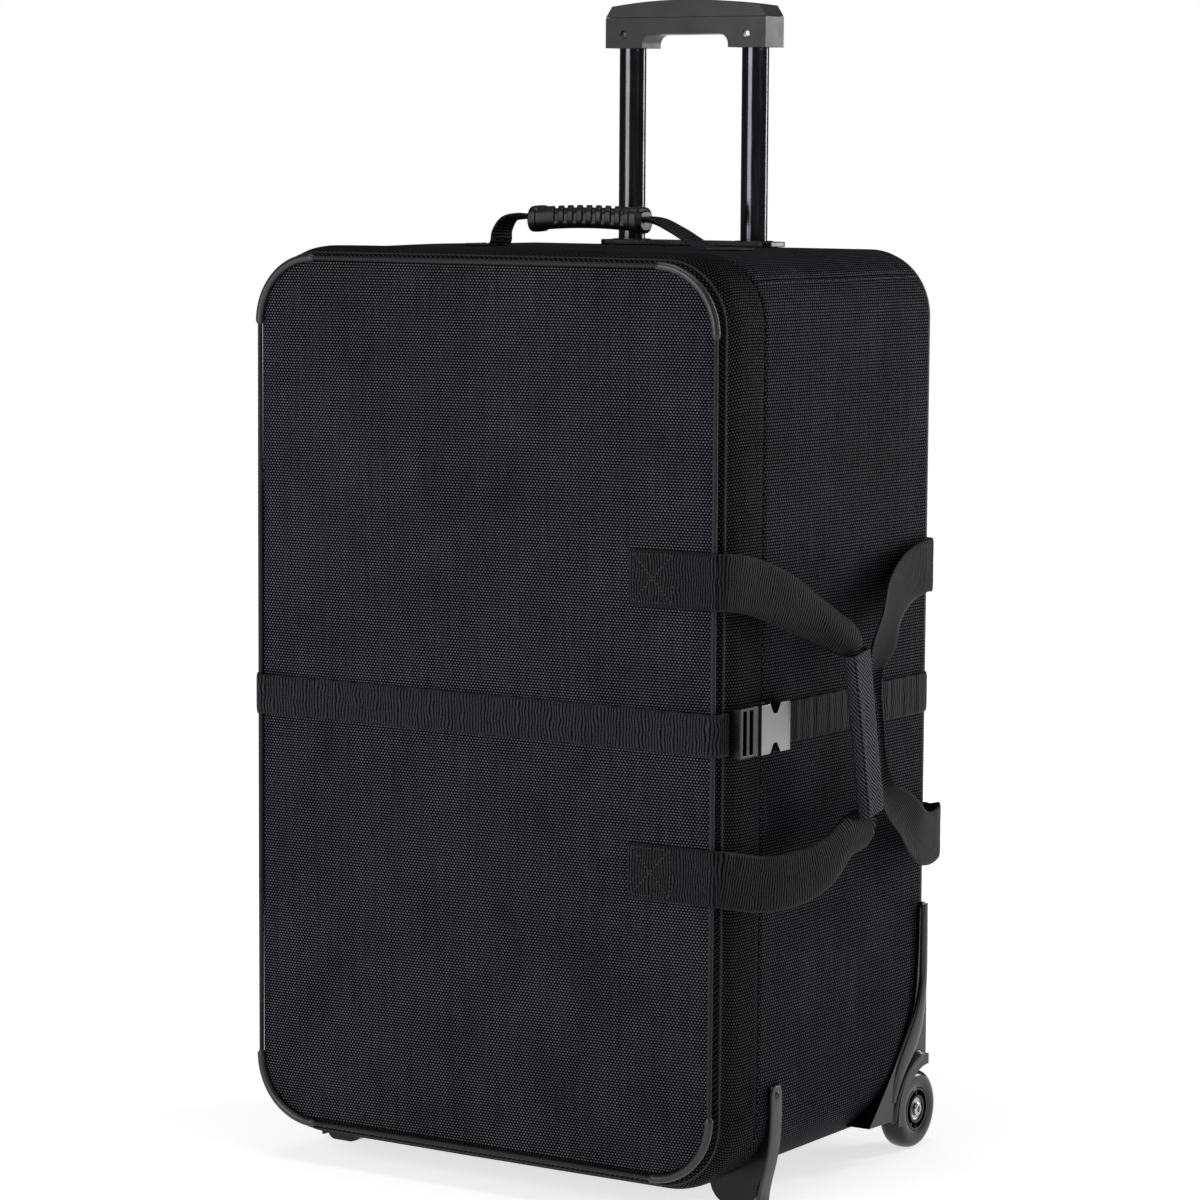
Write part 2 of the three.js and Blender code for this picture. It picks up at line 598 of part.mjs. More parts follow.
const button = join(
  prismZ(ellipse(BUTTON_LENGTH, BUTTON_WIDTH), buttonLowZ, buttonTopZ, 14),
  cylinderZ(BAR_HALF, 0, TUBE_Y, barTopZ + FIT, buttonLowZ + 1, 16),
);

// A bar and two rods carry the button's push down inside the tubes, to a lock pin near the foot of each.
const LOCK_RADIUS = 3;
const lockZ = tubeLowZ + 18;
const rodLowZ = lockZ + LOCK_RADIUS + BUTTON_TRAVEL + 1;
const linkage = join(
  box(
    -TUBE_X - BAR_HALF,
    TUBE_X + BAR_HALF,
    TUBE_Y - BAR_HALF,
    TUBE_Y + BAR_HALF,
    barLowZ,
    barTopZ,
  ),
  ...[-TUBE_X, TUBE_X].map((x) => cylinderZ(ROD_RADIUS, x, TUBE_Y, rodLowZ, barLowZ + 1, 12)),
);
const tubeRadius = TUBE_DIAMETER / 2;
const tubeBore = tubeRadius - TUBE_WALL;
const innerTube = cut(
  cylinderZ(tubeRadius, TUBE_X, TUBE_Y, tubeLowZ, tubeTopZ, 28),
  cylinderZ(tubeBore, TUBE_X, TUBE_Y, tubeLowZ - FAR, tubeTopZ + FAR, 28),
  cylinderX(LOCK_RADIUS + RUNNING, TUBE_X, TUBE_X + tubeRadius + 5, TUBE_Y, lockZ, 16),
);
const outerTube = cut(
  cylinderZ(OUTER_TUBE_DIAMETER / 2, TUBE_X, TUBE_Y, tubeFloorZ, TOP_Z, 28),
  cylinderZ(OUTER_TUBE_BORE / 2, TUBE_X, TUBE_Y, tubeFloorZ - FAR, TOP_Z + FAR, 28),
);
// The pin's carriage stays clear of the bore by the pin's own travel.
const lockPin = join(
  cylinderX(LOCK_RADIUS, TUBE_X, TUBE_X + tubeRadius - 0.2, TUBE_Y, lockZ, 16),
  box(TUBE_X - 3.5, TUBE_X + 3.5, TUBE_Y - 5, TUBE_Y + 5, lockZ - 7, lockZ + LOCK_RADIUS),
);
const gripScrew = cylinderY(3.9, TUBE_X, gripFrontY - 0.6, gripFrontY + SCREW_DEPTH - FIT, screwZ, 16);
add(
  part("grip_lower", gripLower, "grip"),
  part("grip_upper", gripUpper, "grip"),
  part("release_button", button, "gloss"),
  part("release_linkage", linkage, "steel"),
  part("inner_tube_right", innerTube, "tube"),
  part("inner_tube_left", mirrored(innerTube), "tube"),
  part("outer_tube_right", outerTube, "tube"),
  part("outer_tube_left", mirrored(outerTube), "tube"),
  part("lock_pin_right", lockPin, "steel"),
  part("lock_pin_left", mirrored(lockPin), "steel"),
  part("grip_screw_right", gripScrew, "steel"),
  part("grip_screw_left", mirrored(gripScrew), "dark_steel"),
);

// ---------------------------------------------------------------- wheels
const BEARING_RADIUS = 11;
const BEARING_WIDTH = 7;
const AXLE_RADIUS = 4;
const HUB_RADIUS = 21;
const RIM_HALF = WHEEL_WIDTH / 2 - 1;
const wheelMidX = (WHEEL_IN_X + WHEEL_OUT_X) / 2;
const tyreShoulder = WHEEL_RADIUS - 12;
const tyre = turned(
  [
    [HUB_RADIUS + FIT, wheelMidX - RIM_HALF],
    [tyreShoulder, wheelMidX - WHEEL_WIDTH / 2],
    [WHEEL_RADIUS - 5, wheelMidX - WHEEL_WIDTH / 2 + 2.5],
    [WHEEL_RADIUS - 1.4, wheelMidX - 5],
    [WHEEL_RADIUS, wheelMidX],
    [WHEEL_RADIUS - 1.4, wheelMidX + 5],
    [WHEEL_RADIUS - 5, wheelMidX + WHEEL_WIDTH / 2 - 2.5],
    [tyreShoulder, wheelMidX + WHEEL_WIDTH / 2],
    [HUB_RADIUS + FIT, wheelMidX + RIM_HALF],
  ],
  WHEEL_Y,
  WHEEL_RADIUS,
  28,
);
const HUB_WEB = 8; // half the web's thickness between rim and core
const HUB_HOLES = 10;
const hub = cut(
  turned(
    [
      [BEARING_RADIUS + FIT, wheelMidX - RIM_HALF],
      [BEARING_RADIUS + 3, wheelMidX - RIM_HALF],
      [BEARING_RADIUS + 3.5, wheelMidX - HUB_WEB],
      [HUB_RADIUS - 2.5, wheelMidX - HUB_WEB],
      [HUB_RADIUS - 2, wheelMidX - RIM_HALF],
      [HUB_RADIUS, wheelMidX - RIM_HALF],
      [HUB_RADIUS, wheelMidX + RIM_HALF],
      [HUB_RADIUS - 2, wheelMidX + RIM_HALF],
      [HUB_RADIUS - 2.5, wheelMidX + HUB_WEB],
      [BEARING_RADIUS + 3.5, wheelMidX + HUB_WEB],
      [BEARING_RADIUS + 3, wheelMidX + RIM_HALF],
      [BEARING_RADIUS + FIT, wheelMidX + RIM_HALF],
    ],
    WHEEL_Y,
    WHEEL_RADIUS,
    20,
  ),
  ...Array.from({ length: HUB_HOLES }, (_, i) => {
    const angle = (2 * Math.PI * i) / HUB_HOLES;
    const radius = (BEARING_RADIUS + 3.5 + HUB_RADIUS - 2.5) / 2;
    const y = WHEEL_Y + radius * Math.cos(angle);
    const z = WHEEL_RADIUS + radius * Math.sin(angle);
    return cylinderX(1.8, wheelMidX - FAR, wheelMidX + FAR, y, z, 6);
  }),
);
const bearingOutX = wheelMidX + RIM_HALF - 1;
const bearing = cut(
  cylinderX(BEARING_RADIUS, bearingOutX - BEARING_WIDTH, bearingOutX, WHEEL_Y, WHEEL_RADIUS, 28),
  cylinderX(AXLE_RADIUS + RUNNING, bearingOutX - FAR, bearingOutX + FAR, WHEEL_Y, WHEEL_RADIUS, 28),
);
const BOLT_HEAD = 6.5;
const axleBolt = join(
  cylinderX(AXLE_RADIUS, BRACKET_IN_X + 0.2, bearingOutX + 2, WHEEL_Y, WHEEL_RADIUS, 20),
  cylinderX(BOLT_HEAD, bearingOutX + RUNNING, bearingOutX + 3, WHEEL_Y, WHEEL_RADIUS, 20),
);

// The bracket: a strip up the case's rear edge that sweeps forward over the wheel, and a cup let into the tray.
const STRIP_WIDTH = 15;
const STRIP_TOP = BOTTOM_Z + 216;
const bracketSide = new THREE.Shape();
bracketSide.moveTo(BACK_Y + 1, STRIP_TOP - 6);
bracketSide.lineTo(BACK_Y + 1, WHEEL_RADIUS + 40);
bracketSide.lineTo(BACK_Y - 20, WHEEL_RADIUS);
bracketSide.lineTo(BACK_Y - 108, BOTTOM_Z + 14);
bracketSide.quadraticCurveTo(BACK_Y - 86, BOTTOM_Z + 34, BACK_Y - 62, BOTTOM_Z + 62);
bracketSide.quadraticCurveTo(BACK_Y - 38, BOTTOM_Z + 90, BACK_Y - 25, BOTTOM_Z + 112);
bracketSide.quadraticCurveTo(BACK_Y - STRIP_WIDTH, BOTTOM_Z + 130, BACK_Y + 1 - STRIP_WIDTH, STRIP_TOP - 6);
bracketSide.quadraticCurveTo(BACK_Y + 1 - STRIP_WIDTH / 2, STRIP_TOP + 6, BACK_Y + 1, STRIP_TOP - 6);
const FENDER_LIP = 10;
const outX = HALF_WIDTH + BRACKET_PROUD;
const aboveAxle = box(0, CASE_WIDTH, WHEEL_Y - 80, BACK_Y + 2, WHEEL_RADIUS - 6, WHEEL_RADIUS + 80);
const fender = common(
  cylinderX(WELL_RADIUS + FENDER_LIP, HALF_WIDTH - 30, outX + 3, WHEEL_Y, WHEEL_RADIUS, 36),
  aboveAxle,
);
const outerPlate = cut(
  join(prismX(bracketSide, HALF_WIDTH - 30, outX, 5), fender),
  prismY(caseOutline(-FIT), TRAY_FRONT_Y, BACK_Y + FIT),
);
const cup = common(
  cylinderX(WELL_RADIUS + BRACKET_WALL, BRACKET_IN_X, outX, WHEEL_Y, WHEEL_RADIUS, 32),
  aboveAxle,
);
const wheelSpace = cylinderX(WELL_RADIUS, BRACKET_IN_X + BRACKET_WALL, outX + FAR, WHEEL_Y, WHEEL_RADIUS, 32);
const BOSS_RADIUS = 12;
const boss = cylinderX(BOSS_RADIUS, BRACKET_IN_X, WHEEL_IN_X - RUNNING, WHEEL_Y, WHEEL_RADIUS, 20);
const bracket = join(cut(join(outerPlate, cup), wheelSpace), boss);
const boredBracket = cut(
  bracket,
  cylinderX(AXLE_RADIUS + FIT, BRACKET_IN_X - FAR, HALF_WIDTH, WHEEL_Y, WHEEL_RADIUS, 20),
);
for (const [side, place] of [["right", (body) => body], ["left", mirrored]]) {
  add(
    part("wheel_bracket_" + side, place(boredBracket), "moulded"),
    part("wheel_tyre_" + side, place(tyre), "tyre"),
    part("wheel_hub_" + side, place(hub), "moulded"),
    part("wheel_bearing_" + side, place(bearing), "steel"),
    part("axle_bolt_" + side, place(axleBolt), "steel"),
  );
}

// ---------------------------------------------------------------- front feet
// Each foot is a fin under the case that carries on up the side as a strip with a screw.
const FOOT_WIDTH = 18;
const FOOT_PROUD = 4;
const footY = SEAM_Y + 25;
const footShape = new THREE.Shape();
footShape.moveTo(HALF_WIDTH - 20, BOTTOM_Z + FOOT_STRIP_TOP);
footShape.lineTo(HALF_WIDTH + FOOT_PROUD, BOTTOM_Z + FOOT_STRIP_TOP);
footShape.lineTo(HALF_WIDTH + FOOT_PROUD, BOTTOM_Z + 50);
footShape.quadraticCurveTo(HALF_WIDTH + 2, BOTTOM_Z + 20, HALF_WIDTH - 10, BOTTOM_Z - 8);
footShape.quadraticCurveTo(HALF_WIDTH - 14, 0, HALF_WIDTH - 22, 0);
footShape.lineTo(HALF_WIDTH - 42, 0);
footShape.quadraticCurveTo(HALF_WIDTH - 58, 4, HALF_WIDTH - 60, BOTTOM_Z - 4);
footShape.lineTo(HALF_WIDTH - 60, BOTTOM_Z + 30);
const SHANK = 2;
const screwHeadX = HALF_WIDTH + FOOT_PROUD + FIT;
const footScrewZ = BOTTOM_Z + FOOT_STRIP_TOP - 9;
const footShell = cut(
  prismY(footShape, footY - FOOT_WIDTH / 2, footY + FOOT_WIDTH / 2, 6),
  prismY(caseOutline(-FIT), TRAY_FRONT_Y, BACK_Y),
  cylinderX(SHANK + FIT, HALF_WIDTH - 30, HALF_WIDTH + FAR, footY, footScrewZ, 14),
);
const footScrew = join(
  cylinderX(4.6, screwHeadX, screwHeadX + 1.8, footY, footScrewZ, 18),
  cylinderX(SHANK, HALF_WIDTH + 2 * FIT, screwHeadX + 1, footY, footScrewZ, 14),
);
add(
  part("foot_right", footShell, "moulded"),
  part("foot_left", mirrored(footShell), "moulded"),
  part("foot_screw_right", footScrew, "steel"),
  part("foot_screw_left", mirrored(footScrew), "steel"),
);

// ---------------------------------------------------------------- top handle
// Webbing rises steeply at one end and slopes down at the other, through a moulded grip. Its ends narrow to
// the line it swings about, so that the handle can lie over either way.
const HANDLE_ENDS = [-104, 122];
const HANDLE_RISE = 27; // middle of the grip above the top cover
const GRIP = { middle: -8, length: 127, height: 26, depth: 32 };
const handleLowZ = TOP_Z + 3;
const handleMidZ = TOP_Z + HANDLE_RISE;
const acrossY = [0, 1, 0];
const gripEnds = [GRIP.middle - GRIP.length / 2, GRIP.middle + GRIP.length / 2];
const gripQuarter = GRIP.length / 4;
const GRIP_STRAP = { width: 20, thickness: 5 }; // folded inside the grip
const foldedAt = (x, z) => [x, 0, z, GRIP_STRAP.width, acrossY, GRIP_STRAP.thickness];
const handleStrap = webbing(
  [
    [HANDLE_ENDS[0], 0, handleLowZ, 3, acrossY, STRAP],
    [HANDLE_ENDS[0] + 3, 0, TOP_Z + 15, HANDLE_WIDTH / 2, acrossY, STRAP],
    [gripEnds[0] - 4, 0, handleMidZ - 3, HANDLE_WIDTH - 12, acrossY, 4],
    foldedAt(GRIP.middle - gripQuarter, handleMidZ),
    foldedAt(GRIP.middle, handleMidZ + 1),
    foldedAt(GRIP.middle + gripQuarter, handleMidZ),
    [gripEnds[1] + 4, 0, handleMidZ - 3, HANDLE_WIDTH - 12, acrossY, 4],
    [(gripEnds[1] + HANDLE_ENDS[1]) / 2, 0, TOP_Z + 15, HANDLE_WIDTH / 2, acrossY, STRAP],
    [HANDLE_ENDS[1], 0, handleLowZ, 3, acrossY, STRAP],
  ],
  32,
);
const ARCH_RISE = 3;
const GRIP_CHAMFER = 7;
const gripLowZ = handleMidZ - GRIP.height / 2;
const gripHighZ = handleMidZ + GRIP.height / 2;
const gripLong = new THREE.Shape();
gripLong.moveTo(gripEnds[0], gripLowZ);
gripLong.quadraticCurveTo(GRIP.middle, gripLowZ + 2 * ARCH_RISE, gripEnds[1], gripLowZ);
gripLong.lineTo(gripEnds[1], gripHighZ - GRIP_CHAMFER);
gripLong.lineTo(gripEnds[1] - GRIP_CHAMFER, gripHighZ);
gripLong.quadraticCurveTo(GRIP.middle, gripHighZ + ARCH_RISE, gripEnds[0] + GRIP_CHAMFER, gripHighZ);
gripLong.lineTo(gripEnds[0], gripHighZ - GRIP_CHAMFER);
const gripSection = roundedRectangle(-GRIP.depth / 2, GRIP.depth / 2, gripLowZ, gripHighZ + ARCH_RISE, 10);
const throughAt = (x, z) => [x, 0, z, GRIP_STRAP.width + 2, acrossY, GRIP_STRAP.thickness + 2];
const gripBore = webbing(
  [
    [gripEnds[0] - FAR, 0, handleMidZ - 6, HANDLE_WIDTH - 6, acrossY, 9],
    throughAt(GRIP.middle - gripQuarter, handleMidZ),
    throughAt(GRIP.middle, handleMidZ + 1),
    throughAt(GRIP.middle + gripQuarter, handleMidZ),
    [gripEnds[1] + FAR, 0, handleMidZ - 6, HANDLE_WIDTH - 6, acrossY, 9],
  ],
  16,
);
const handleGrip = cut(
  common(prismY(gripLong, -GRIP.depth, GRIP.depth, 8), prismX(gripSection, gripEnds[0] - 1, gripEnds[1] + 1, 3)),
  gripBore,
);
add(part("top_handle_strap", handleStrap, "webbing"), part("top_handle_grip", handleGrip, "grip"));

// ---------------------------------------------------------------- grab loops on the right side
// Each patch is webbing sewn to the front or the back; its loop runs on from it, round the side and back.
const FOLDED = STRAP_WIDTH / 2; // loop folded double inside the sleeve
const FOLD_THICKNESS = 5;
const SLEEVE_WALL = 2.5;
const SLEEVE_STAND_OFF = 44; // sleeve's middle from the side cover
const SLEEVE_LEAN = 0.2; // how far its foot lies behind its head, per unit of height
const SLEEVE_Y = -8;
const sleeveX = HALF_WIDTH + SLEEVE_STAND_OFF;
const sleeveZ = BELT_Z - 14;
const PATCH_HEIGHTS = { frontUpper: 135, frontLower: -127, rearUpper: 121, rearLower: -133 }; // from the belt
const PATCH_LENGTH = 92; // from its inner end to the case's side
const FLAP = 48; // doubled and sewn down
const HALF_STRAP = STRAP_WIDTH / 2;
const edgeX = HALF_WIDTH + 3;
const EDGE_PROUD = 4; // loop's end past the front or the back
const patchFrontY = FACE_Y - FIT;
const frontPatch = (z) =>
  prismZ(
    polygon([
      [HALF_WIDTH - PATCH_LENGTH, patchFrontY],
      [HALF_WIDTH - PATCH_LENGTH, patchFrontY - 2 * STRAP],
      [HALF_WIDTH - PATCH_LENGTH + FLAP, patchFrontY - 2 * STRAP],
      [pipingSide - 12, beltFrontY - STRAP],
      [HALF_WIDTH - 2, beltFrontY - STRAP],
      [HALF_WIDTH - 2, beltFrontY],
      [pipingSide - 11, beltFrontY],
      [HALF_WIDTH - PATCH_LENGTH + FLAP + 6, patchFrontY],
    ]),
    z - HALF_STRAP,
    z + HALF_STRAP,
  );
const rearPatch = (z) =>
  box(
    HALF_WIDTH - PATCH_LENGTH,
    HALF_WIDTH - 2,
    BACK_Y + FIT,
    BACK_Y + FIT + 2 * STRAP,
    z - HALF_STRAP,
    z + HALF_STRAP,
  );

// A station of an arm: a share of the way from the patch at the case's edge to the sleeve's end.
const leanY = (dz) => SLEEVE_Y - SLEEVE_LEAN * dz; // the sleeve's middle line, dz above its middle
const mix = THREE.MathUtils.lerp;
const sleeveHead = SLEEVE_LENGTH / 2 + 9;
const insideSleeve = SLEEVE_LENGTH / 2 + 1;
const upright = [0, 0, 1];
const downward = [0, 0, -1];
const folded = (dz) => [sleeveX, leanY(dz), sleeveZ + dz, FOLDED, [0, 1, SLEEVE_LEAN], FOLD_THICKNESS];
function arm(edgeY, edgeZ, endY, endZ, share, drop, bow, width, across, thickness) {
  const x = mix(edgeX, sleeveX, share) + bow;
  return [x, mix(edgeY, endY, share), mix(edgeZ, endZ, share) + drop, width, across, thickness];
}
const frontTop = [FRONT_Y - EDGE_PROUD, BELT_Z + PATCH_HEIGHTS.frontUpper, leanY(sleeveHead), sleeveZ + sleeveHead];
const frontFoot = [FRONT_Y - EDGE_PROUD, BELT_Z + PATCH_HEIGHTS.frontLower, leanY(-sleeveHead), sleeveZ - sleeveHead];
const frontStrap = webbing(
  [
    [edgeX, frontTop[0], frontTop[1], STRAP_WIDTH, upright, STRAP],
    arm(...frontTop, 0.2, 4, 2, STRAP_WIDTH, upright, STRAP),
    arm(...frontTop, 0.5, 8, 2, 46, [0, 0.45, 0.9], STRAP),
    arm(...frontTop, 0.76, 12, 4, 40, [0, 0.6, 0.8], 2.5),
    arm(...frontTop, 0.9, 16, 3, 32, [0, 0.85, 0.5], 4),
    folded(sleeveHead),
    folded(insideSleeve),
    folded(-insideSleeve),
    folded(-sleeveHead),
    arm(...frontFoot, 0.93, -12, 2, 32, [0, 0.75, -0.6], 4),
    arm(...frontFoot, 0.7, -20, 6, 42, [0, 0.4, -0.9], 2.5),
    arm(...frontFoot, 0.45, -14, 4, STRAP_WIDTH, downward, STRAP),
    arm(...frontFoot, 0.2, -6, 2, STRAP_WIDTH, downward, STRAP),
    [edgeX, frontFoot[0], frontFoot[1], STRAP_WIDTH, downward, STRAP],
  ],
  52,
);
const SLEEVE_BORE = { x: FOLD_THICKNESS + 3, y: FOLDED + 3 };
const SLEEVE_SIZE = { x: SLEEVE_BORE.x + 2 * SLEEVE_WALL, y: SLEEVE_BORE.y + 2 * SLEEVE_WALL };
const sleeveShape = roundedRectangle(
  -SLEEVE_SIZE.x / 2,
  SLEEVE_SIZE.x / 2,
  -SLEEVE_SIZE.y / 2,
  SLEEVE_SIZE.y / 2,
  5,
);
sleeveShape.holes.push(
  roundedRectangle(-SLEEVE_BORE.x / 2, SLEEVE_BORE.x / 2, -SLEEVE_BORE.y / 2, SLEEVE_BORE.y / 2, 2),
);
const sleeveMesh = part("grab_sleeve", prismZ(sleeveShape, -SLEEVE_LENGTH / 2, SLEEVE_LENGTH / 2, 4), "webbing");
sleeveMesh.position.set(sleeveX, SLEEVE_Y, sleeveZ);
sleeveMesh.rotation.x = Math.atan(SLEEVE_LEAN);

// The rear loop's upright lies folded narrow just behind the sleeve.
const REAR_FOLD = { width: 10, thickness: 8 };
const SLEEVE_TO_REAR = 2;
const BESIDE = SLEEVE_SIZE.y / 2 + SLEEVE_TO_REAR + REAR_FOLD.width / 2;
const rearHead = SLEEVE_LENGTH / 2 - 25;
const beside = (dz) => [
  sleeveX,
  leanY(dz) + BESIDE,
  sleeveZ + dz,
  REAR_FOLD.width,
  [0, -1, -SLEEVE_LEAN],
  REAR_FOLD.thickness,
];
// Where each arm gathers beside the sleeve, a little past the upright's end and behind it.
const NECK_RISE = 25;
const NECK_BEHIND = 12;
const NECK_INSIDE = 2.5;
const gathered = (dz, rise) => [
  sleeveX - NECK_INSIDE,
  leanY(dz) + BESIDE + NECK_BEHIND,
  sleeveZ + dz + rise,
  2 * REAR_FOLD.width,
  [0, -0.85, Math.sign(rise) / 2],
  FOLD_THICKNESS + 1,
];
const rearTop = [BACK_Y + EDGE_PROUD, BELT_Z + PATCH_HEIGHTS.rearUpper, leanY(rearHead) + BESIDE, sleeveZ + rearHead];
const rearFoot = [BACK_Y + EDGE_PROUD, BELT_Z + PATCH_HEIGHTS.rearLower, leanY(-rearHead) + BESIDE, sleeveZ - rearHead];
const rearStrap = webbing(
  [
    [edgeX, rearTop[0], rearTop[1], STRAP_WIDTH, upright, STRAP],
    arm(...rearTop, 0.2, 8, -2, STRAP_WIDTH, upright, STRAP),
    arm(...rearTop, 0.55, 20, -8, 46, [0, -0.3, 0.95], STRAP),
    arm(...rearTop, 0.8, 24, -3, 36, [0, -0.5, 0.85], 3),
    gathered(rearHead, NECK_RISE),
    beside(rearHead),
    beside(rearHead - 12),
    beside(12 - rearHead),
    beside(-rearHead),
    gathered(-rearHead, -NECK_RISE),
    arm(...rearFoot, 0.76, -26, 6, 40, [0, -0.4, -0.9], 3),
    arm(...rearFoot, 0.42, -20, 6, STRAP_WIDTH, downward, STRAP),
    arm(...rearFoot, 0.15, -8, 6, STRAP_WIDTH, downward, STRAP),
    [edgeX, rearFoot[0], rearFoot[1], STRAP_WIDTH, downward, STRAP],
  ],
  48,
);
add(
  part("front_patch_upper", frontPatch(frontTop[1]), "webbing"),
  part("front_patch_lower", frontPatch(frontFoot[1]), "webbing"),
  part("rear_patch_upper", rearPatch(rearTop[1]), "webbing"),
  part("rear_patch_lower", rearPatch(rearFoot[1]), "webbing"),
  part("front_grab_strap", frontStrap, "webbing"),
  part("rear_grab_strap", rearStrap, "webbing"),
  sleeveMesh,
);

// The origin is on the floor, at the middle of the whole object's bounding box.
const bounds = new THREE.Box3().setFromObject(caseGroup, true);
const middle = bounds.getCenter(new THREE.Vector3());
caseGroup.position.set(-middle.x, -middle.y, -bounds.min.z);

export default caseGroup;
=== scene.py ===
"""A wheeled equipment case: fabric-covered tray and lid, belt, grab loops, top handle, trolley and wheels.

Lengths are millimetres in the case's own frame: X to the side with the buckle, -Y to the lid's face, Z up,
and the origin on the floor under the middle of the case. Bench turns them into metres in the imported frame.
"""

import json
import logging
import math
from collections.abc import Callable
from dataclasses import dataclass, field
from enum import Enum

import bmesh
import bpy
import numpy as np
from mathutils import Matrix, Vector

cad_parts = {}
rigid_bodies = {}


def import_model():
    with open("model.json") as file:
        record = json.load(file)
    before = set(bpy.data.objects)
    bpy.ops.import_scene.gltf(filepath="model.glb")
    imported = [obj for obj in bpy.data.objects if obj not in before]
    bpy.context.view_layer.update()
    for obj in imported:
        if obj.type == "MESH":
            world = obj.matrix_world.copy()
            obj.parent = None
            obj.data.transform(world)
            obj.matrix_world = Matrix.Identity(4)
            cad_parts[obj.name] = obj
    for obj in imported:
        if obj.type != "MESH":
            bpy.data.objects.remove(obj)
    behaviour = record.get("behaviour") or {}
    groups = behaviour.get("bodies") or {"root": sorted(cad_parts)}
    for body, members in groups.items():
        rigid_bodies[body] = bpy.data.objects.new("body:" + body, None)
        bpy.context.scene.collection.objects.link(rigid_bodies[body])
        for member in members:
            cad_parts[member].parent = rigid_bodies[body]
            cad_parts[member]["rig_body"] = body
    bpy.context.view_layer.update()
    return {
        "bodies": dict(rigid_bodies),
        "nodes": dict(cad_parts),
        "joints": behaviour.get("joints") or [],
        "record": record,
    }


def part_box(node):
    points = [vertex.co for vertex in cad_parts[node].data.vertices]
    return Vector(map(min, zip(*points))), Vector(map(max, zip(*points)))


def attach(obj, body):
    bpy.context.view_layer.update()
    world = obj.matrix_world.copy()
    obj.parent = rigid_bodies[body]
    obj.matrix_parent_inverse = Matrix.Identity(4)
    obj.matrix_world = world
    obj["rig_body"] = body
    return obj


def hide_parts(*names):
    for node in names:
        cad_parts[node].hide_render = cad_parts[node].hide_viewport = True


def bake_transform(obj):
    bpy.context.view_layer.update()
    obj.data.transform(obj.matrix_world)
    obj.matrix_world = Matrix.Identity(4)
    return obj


LOG = logging.getLogger("case")
MM = 0.001
WELD = 2e-6  # metres, between vertices that are one
MIX_SHARE, MIX_LOW, MIX_HIGH, MIX_RESULT = 0, 6, 7, 2  # sockets of a Mix node that mixes colours
X_WAY, Y_WAY, Z_WAY = (1.0, 0.0, 0.0), (0.0, 1.0, 0.0), (0.0, 0.0, 1.0)
Array = np.ndarray


# ---------------------------------------------------------------- surfaces
@dataclass
class Surface:
    """A mesh held as arrays: points in millimetres, quads, and cloth coordinates in millimetres."""

    points: Array
    faces: Array
    cloth: Array

    def moved(self, turn: Array, shift: Array) -> "Surface":
        """The surface turned by a 3x3 matrix, then shifted."""
        return Surface(self.points @ turn.T + shift, self.faces, self.cloth)

    def flipped(self) -> "Surface":
        """The surface with its faces turned round."""
        return Surface(self.points, self.faces[:, ::-1], self.cloth)

    def mirrored(self) -> "Surface":
        """The surface on the other side of the case."""
        return Surface(self.points * (-1, 1, 1), self.faces[:, ::-1], self.cloth)


def merged(*surfaces: Surface) -> Surface:
    """Several surfaces as one."""
    starts = np.cumsum([0] + [len(s.points) for s in surfaces[:-1]])
    return Surface(
        np.concatenate([s.points for s in surfaces]),
        np.concatenate([s.faces + start for s, start in zip(surfaces, starts)]),
        np.concatenate([s.cloth for s in surfaces]),
    )


def grid(points: Array, cloth: Array | None = None) -> Surface:
    """A surface over a grid of two parameters.

    Args:
        points: rows x columns x 3.
        cloth: rows x columns x 2, or None for lengths measured along the grid.

    Returns:
        Quads between neighbouring rows and columns, facing rows x columns by the right-hand rule.
    """
    rows, columns = points.shape[:2]
    if cloth is None:
        along = np.linalg.norm(np.diff(points, axis=0), axis=2).mean(1)
        across = np.linalg.norm(np.diff(points, axis=1), axis=2).mean(0)
        u, v = np.append(0, np.cumsum(along)), np.append(0, np.cumsum(across))
        cloth = np.stack(np.meshgrid(u, v, indexing="ij"), axis=2)
    i, j = np.meshgrid(np.arange(rows - 1), np.arange(columns - 1), indexing="ij")
    first = (i * columns + j).ravel()
    faces = np.stack([first, first + columns, first + columns + 1, first + 1], axis=1)
    return Surface(points.reshape(-1, 3), faces, cloth.reshape(-1, 2))


def smooth_line(stations: Array, count: int) -> Array:
    """Rows of values along a smooth line through the stations.

    Each span is a cubic Hermite curve in the chord length of the first three columns, with the slope at a
    station worked out from its two neighbours.

    Args:
        stations: one row each, the position first.
        count: rows wanted.

    Returns:
        count rows with the stations' columns.
    """
    stations = np.asarray(stations, float)
    at = travelled(stations[:, :3])
    slope = np.gradient(stations, at, axis=0)
    wanted = np.linspace(0, at[-1], count)
    span = np.clip(np.searchsorted(at, wanted, side="right") - 1, 0, len(at) - 2)
    step = (at[span + 1] - at[span])[:, None]
    t = ((wanted - at[span]) / step[:, 0])[:, None]
    start = (2 * t**3 - 3 * t**2 + 1) * stations[span] + (t**3 - 2 * t**2 + t) * step * slope[span]
    end = (3 * t**2 - 2 * t**3) * stations[span + 1] + (t**3 - t**2) * step * slope[span + 1]
    return start + end


def travelled(path: Array) -> Array:
    """Distance along a path at each of its points."""
    return np.append(0, np.cumsum(np.linalg.norm(np.diff(path, axis=0), axis=1)))


def each(way: tuple[float, float, float], count: int) -> Array:
    """One direction for each of count points."""
    return np.tile(way, (count, 1))


def unit(vectors: Array) -> Array:
    """Each row scaled to length one."""
    return vectors / np.linalg.norm(vectors, axis=-1, keepdims=True)


def bump(x: Array, centre: float, half: float) -> Array:
    """A smooth hump: 1 at the centre, cosine down to 0 at half on each side."""
    t = np.clip(np.abs(x - centre) / half, 0, 1)
    return 0.5 + 0.5 * np.cos(np.pi * t)


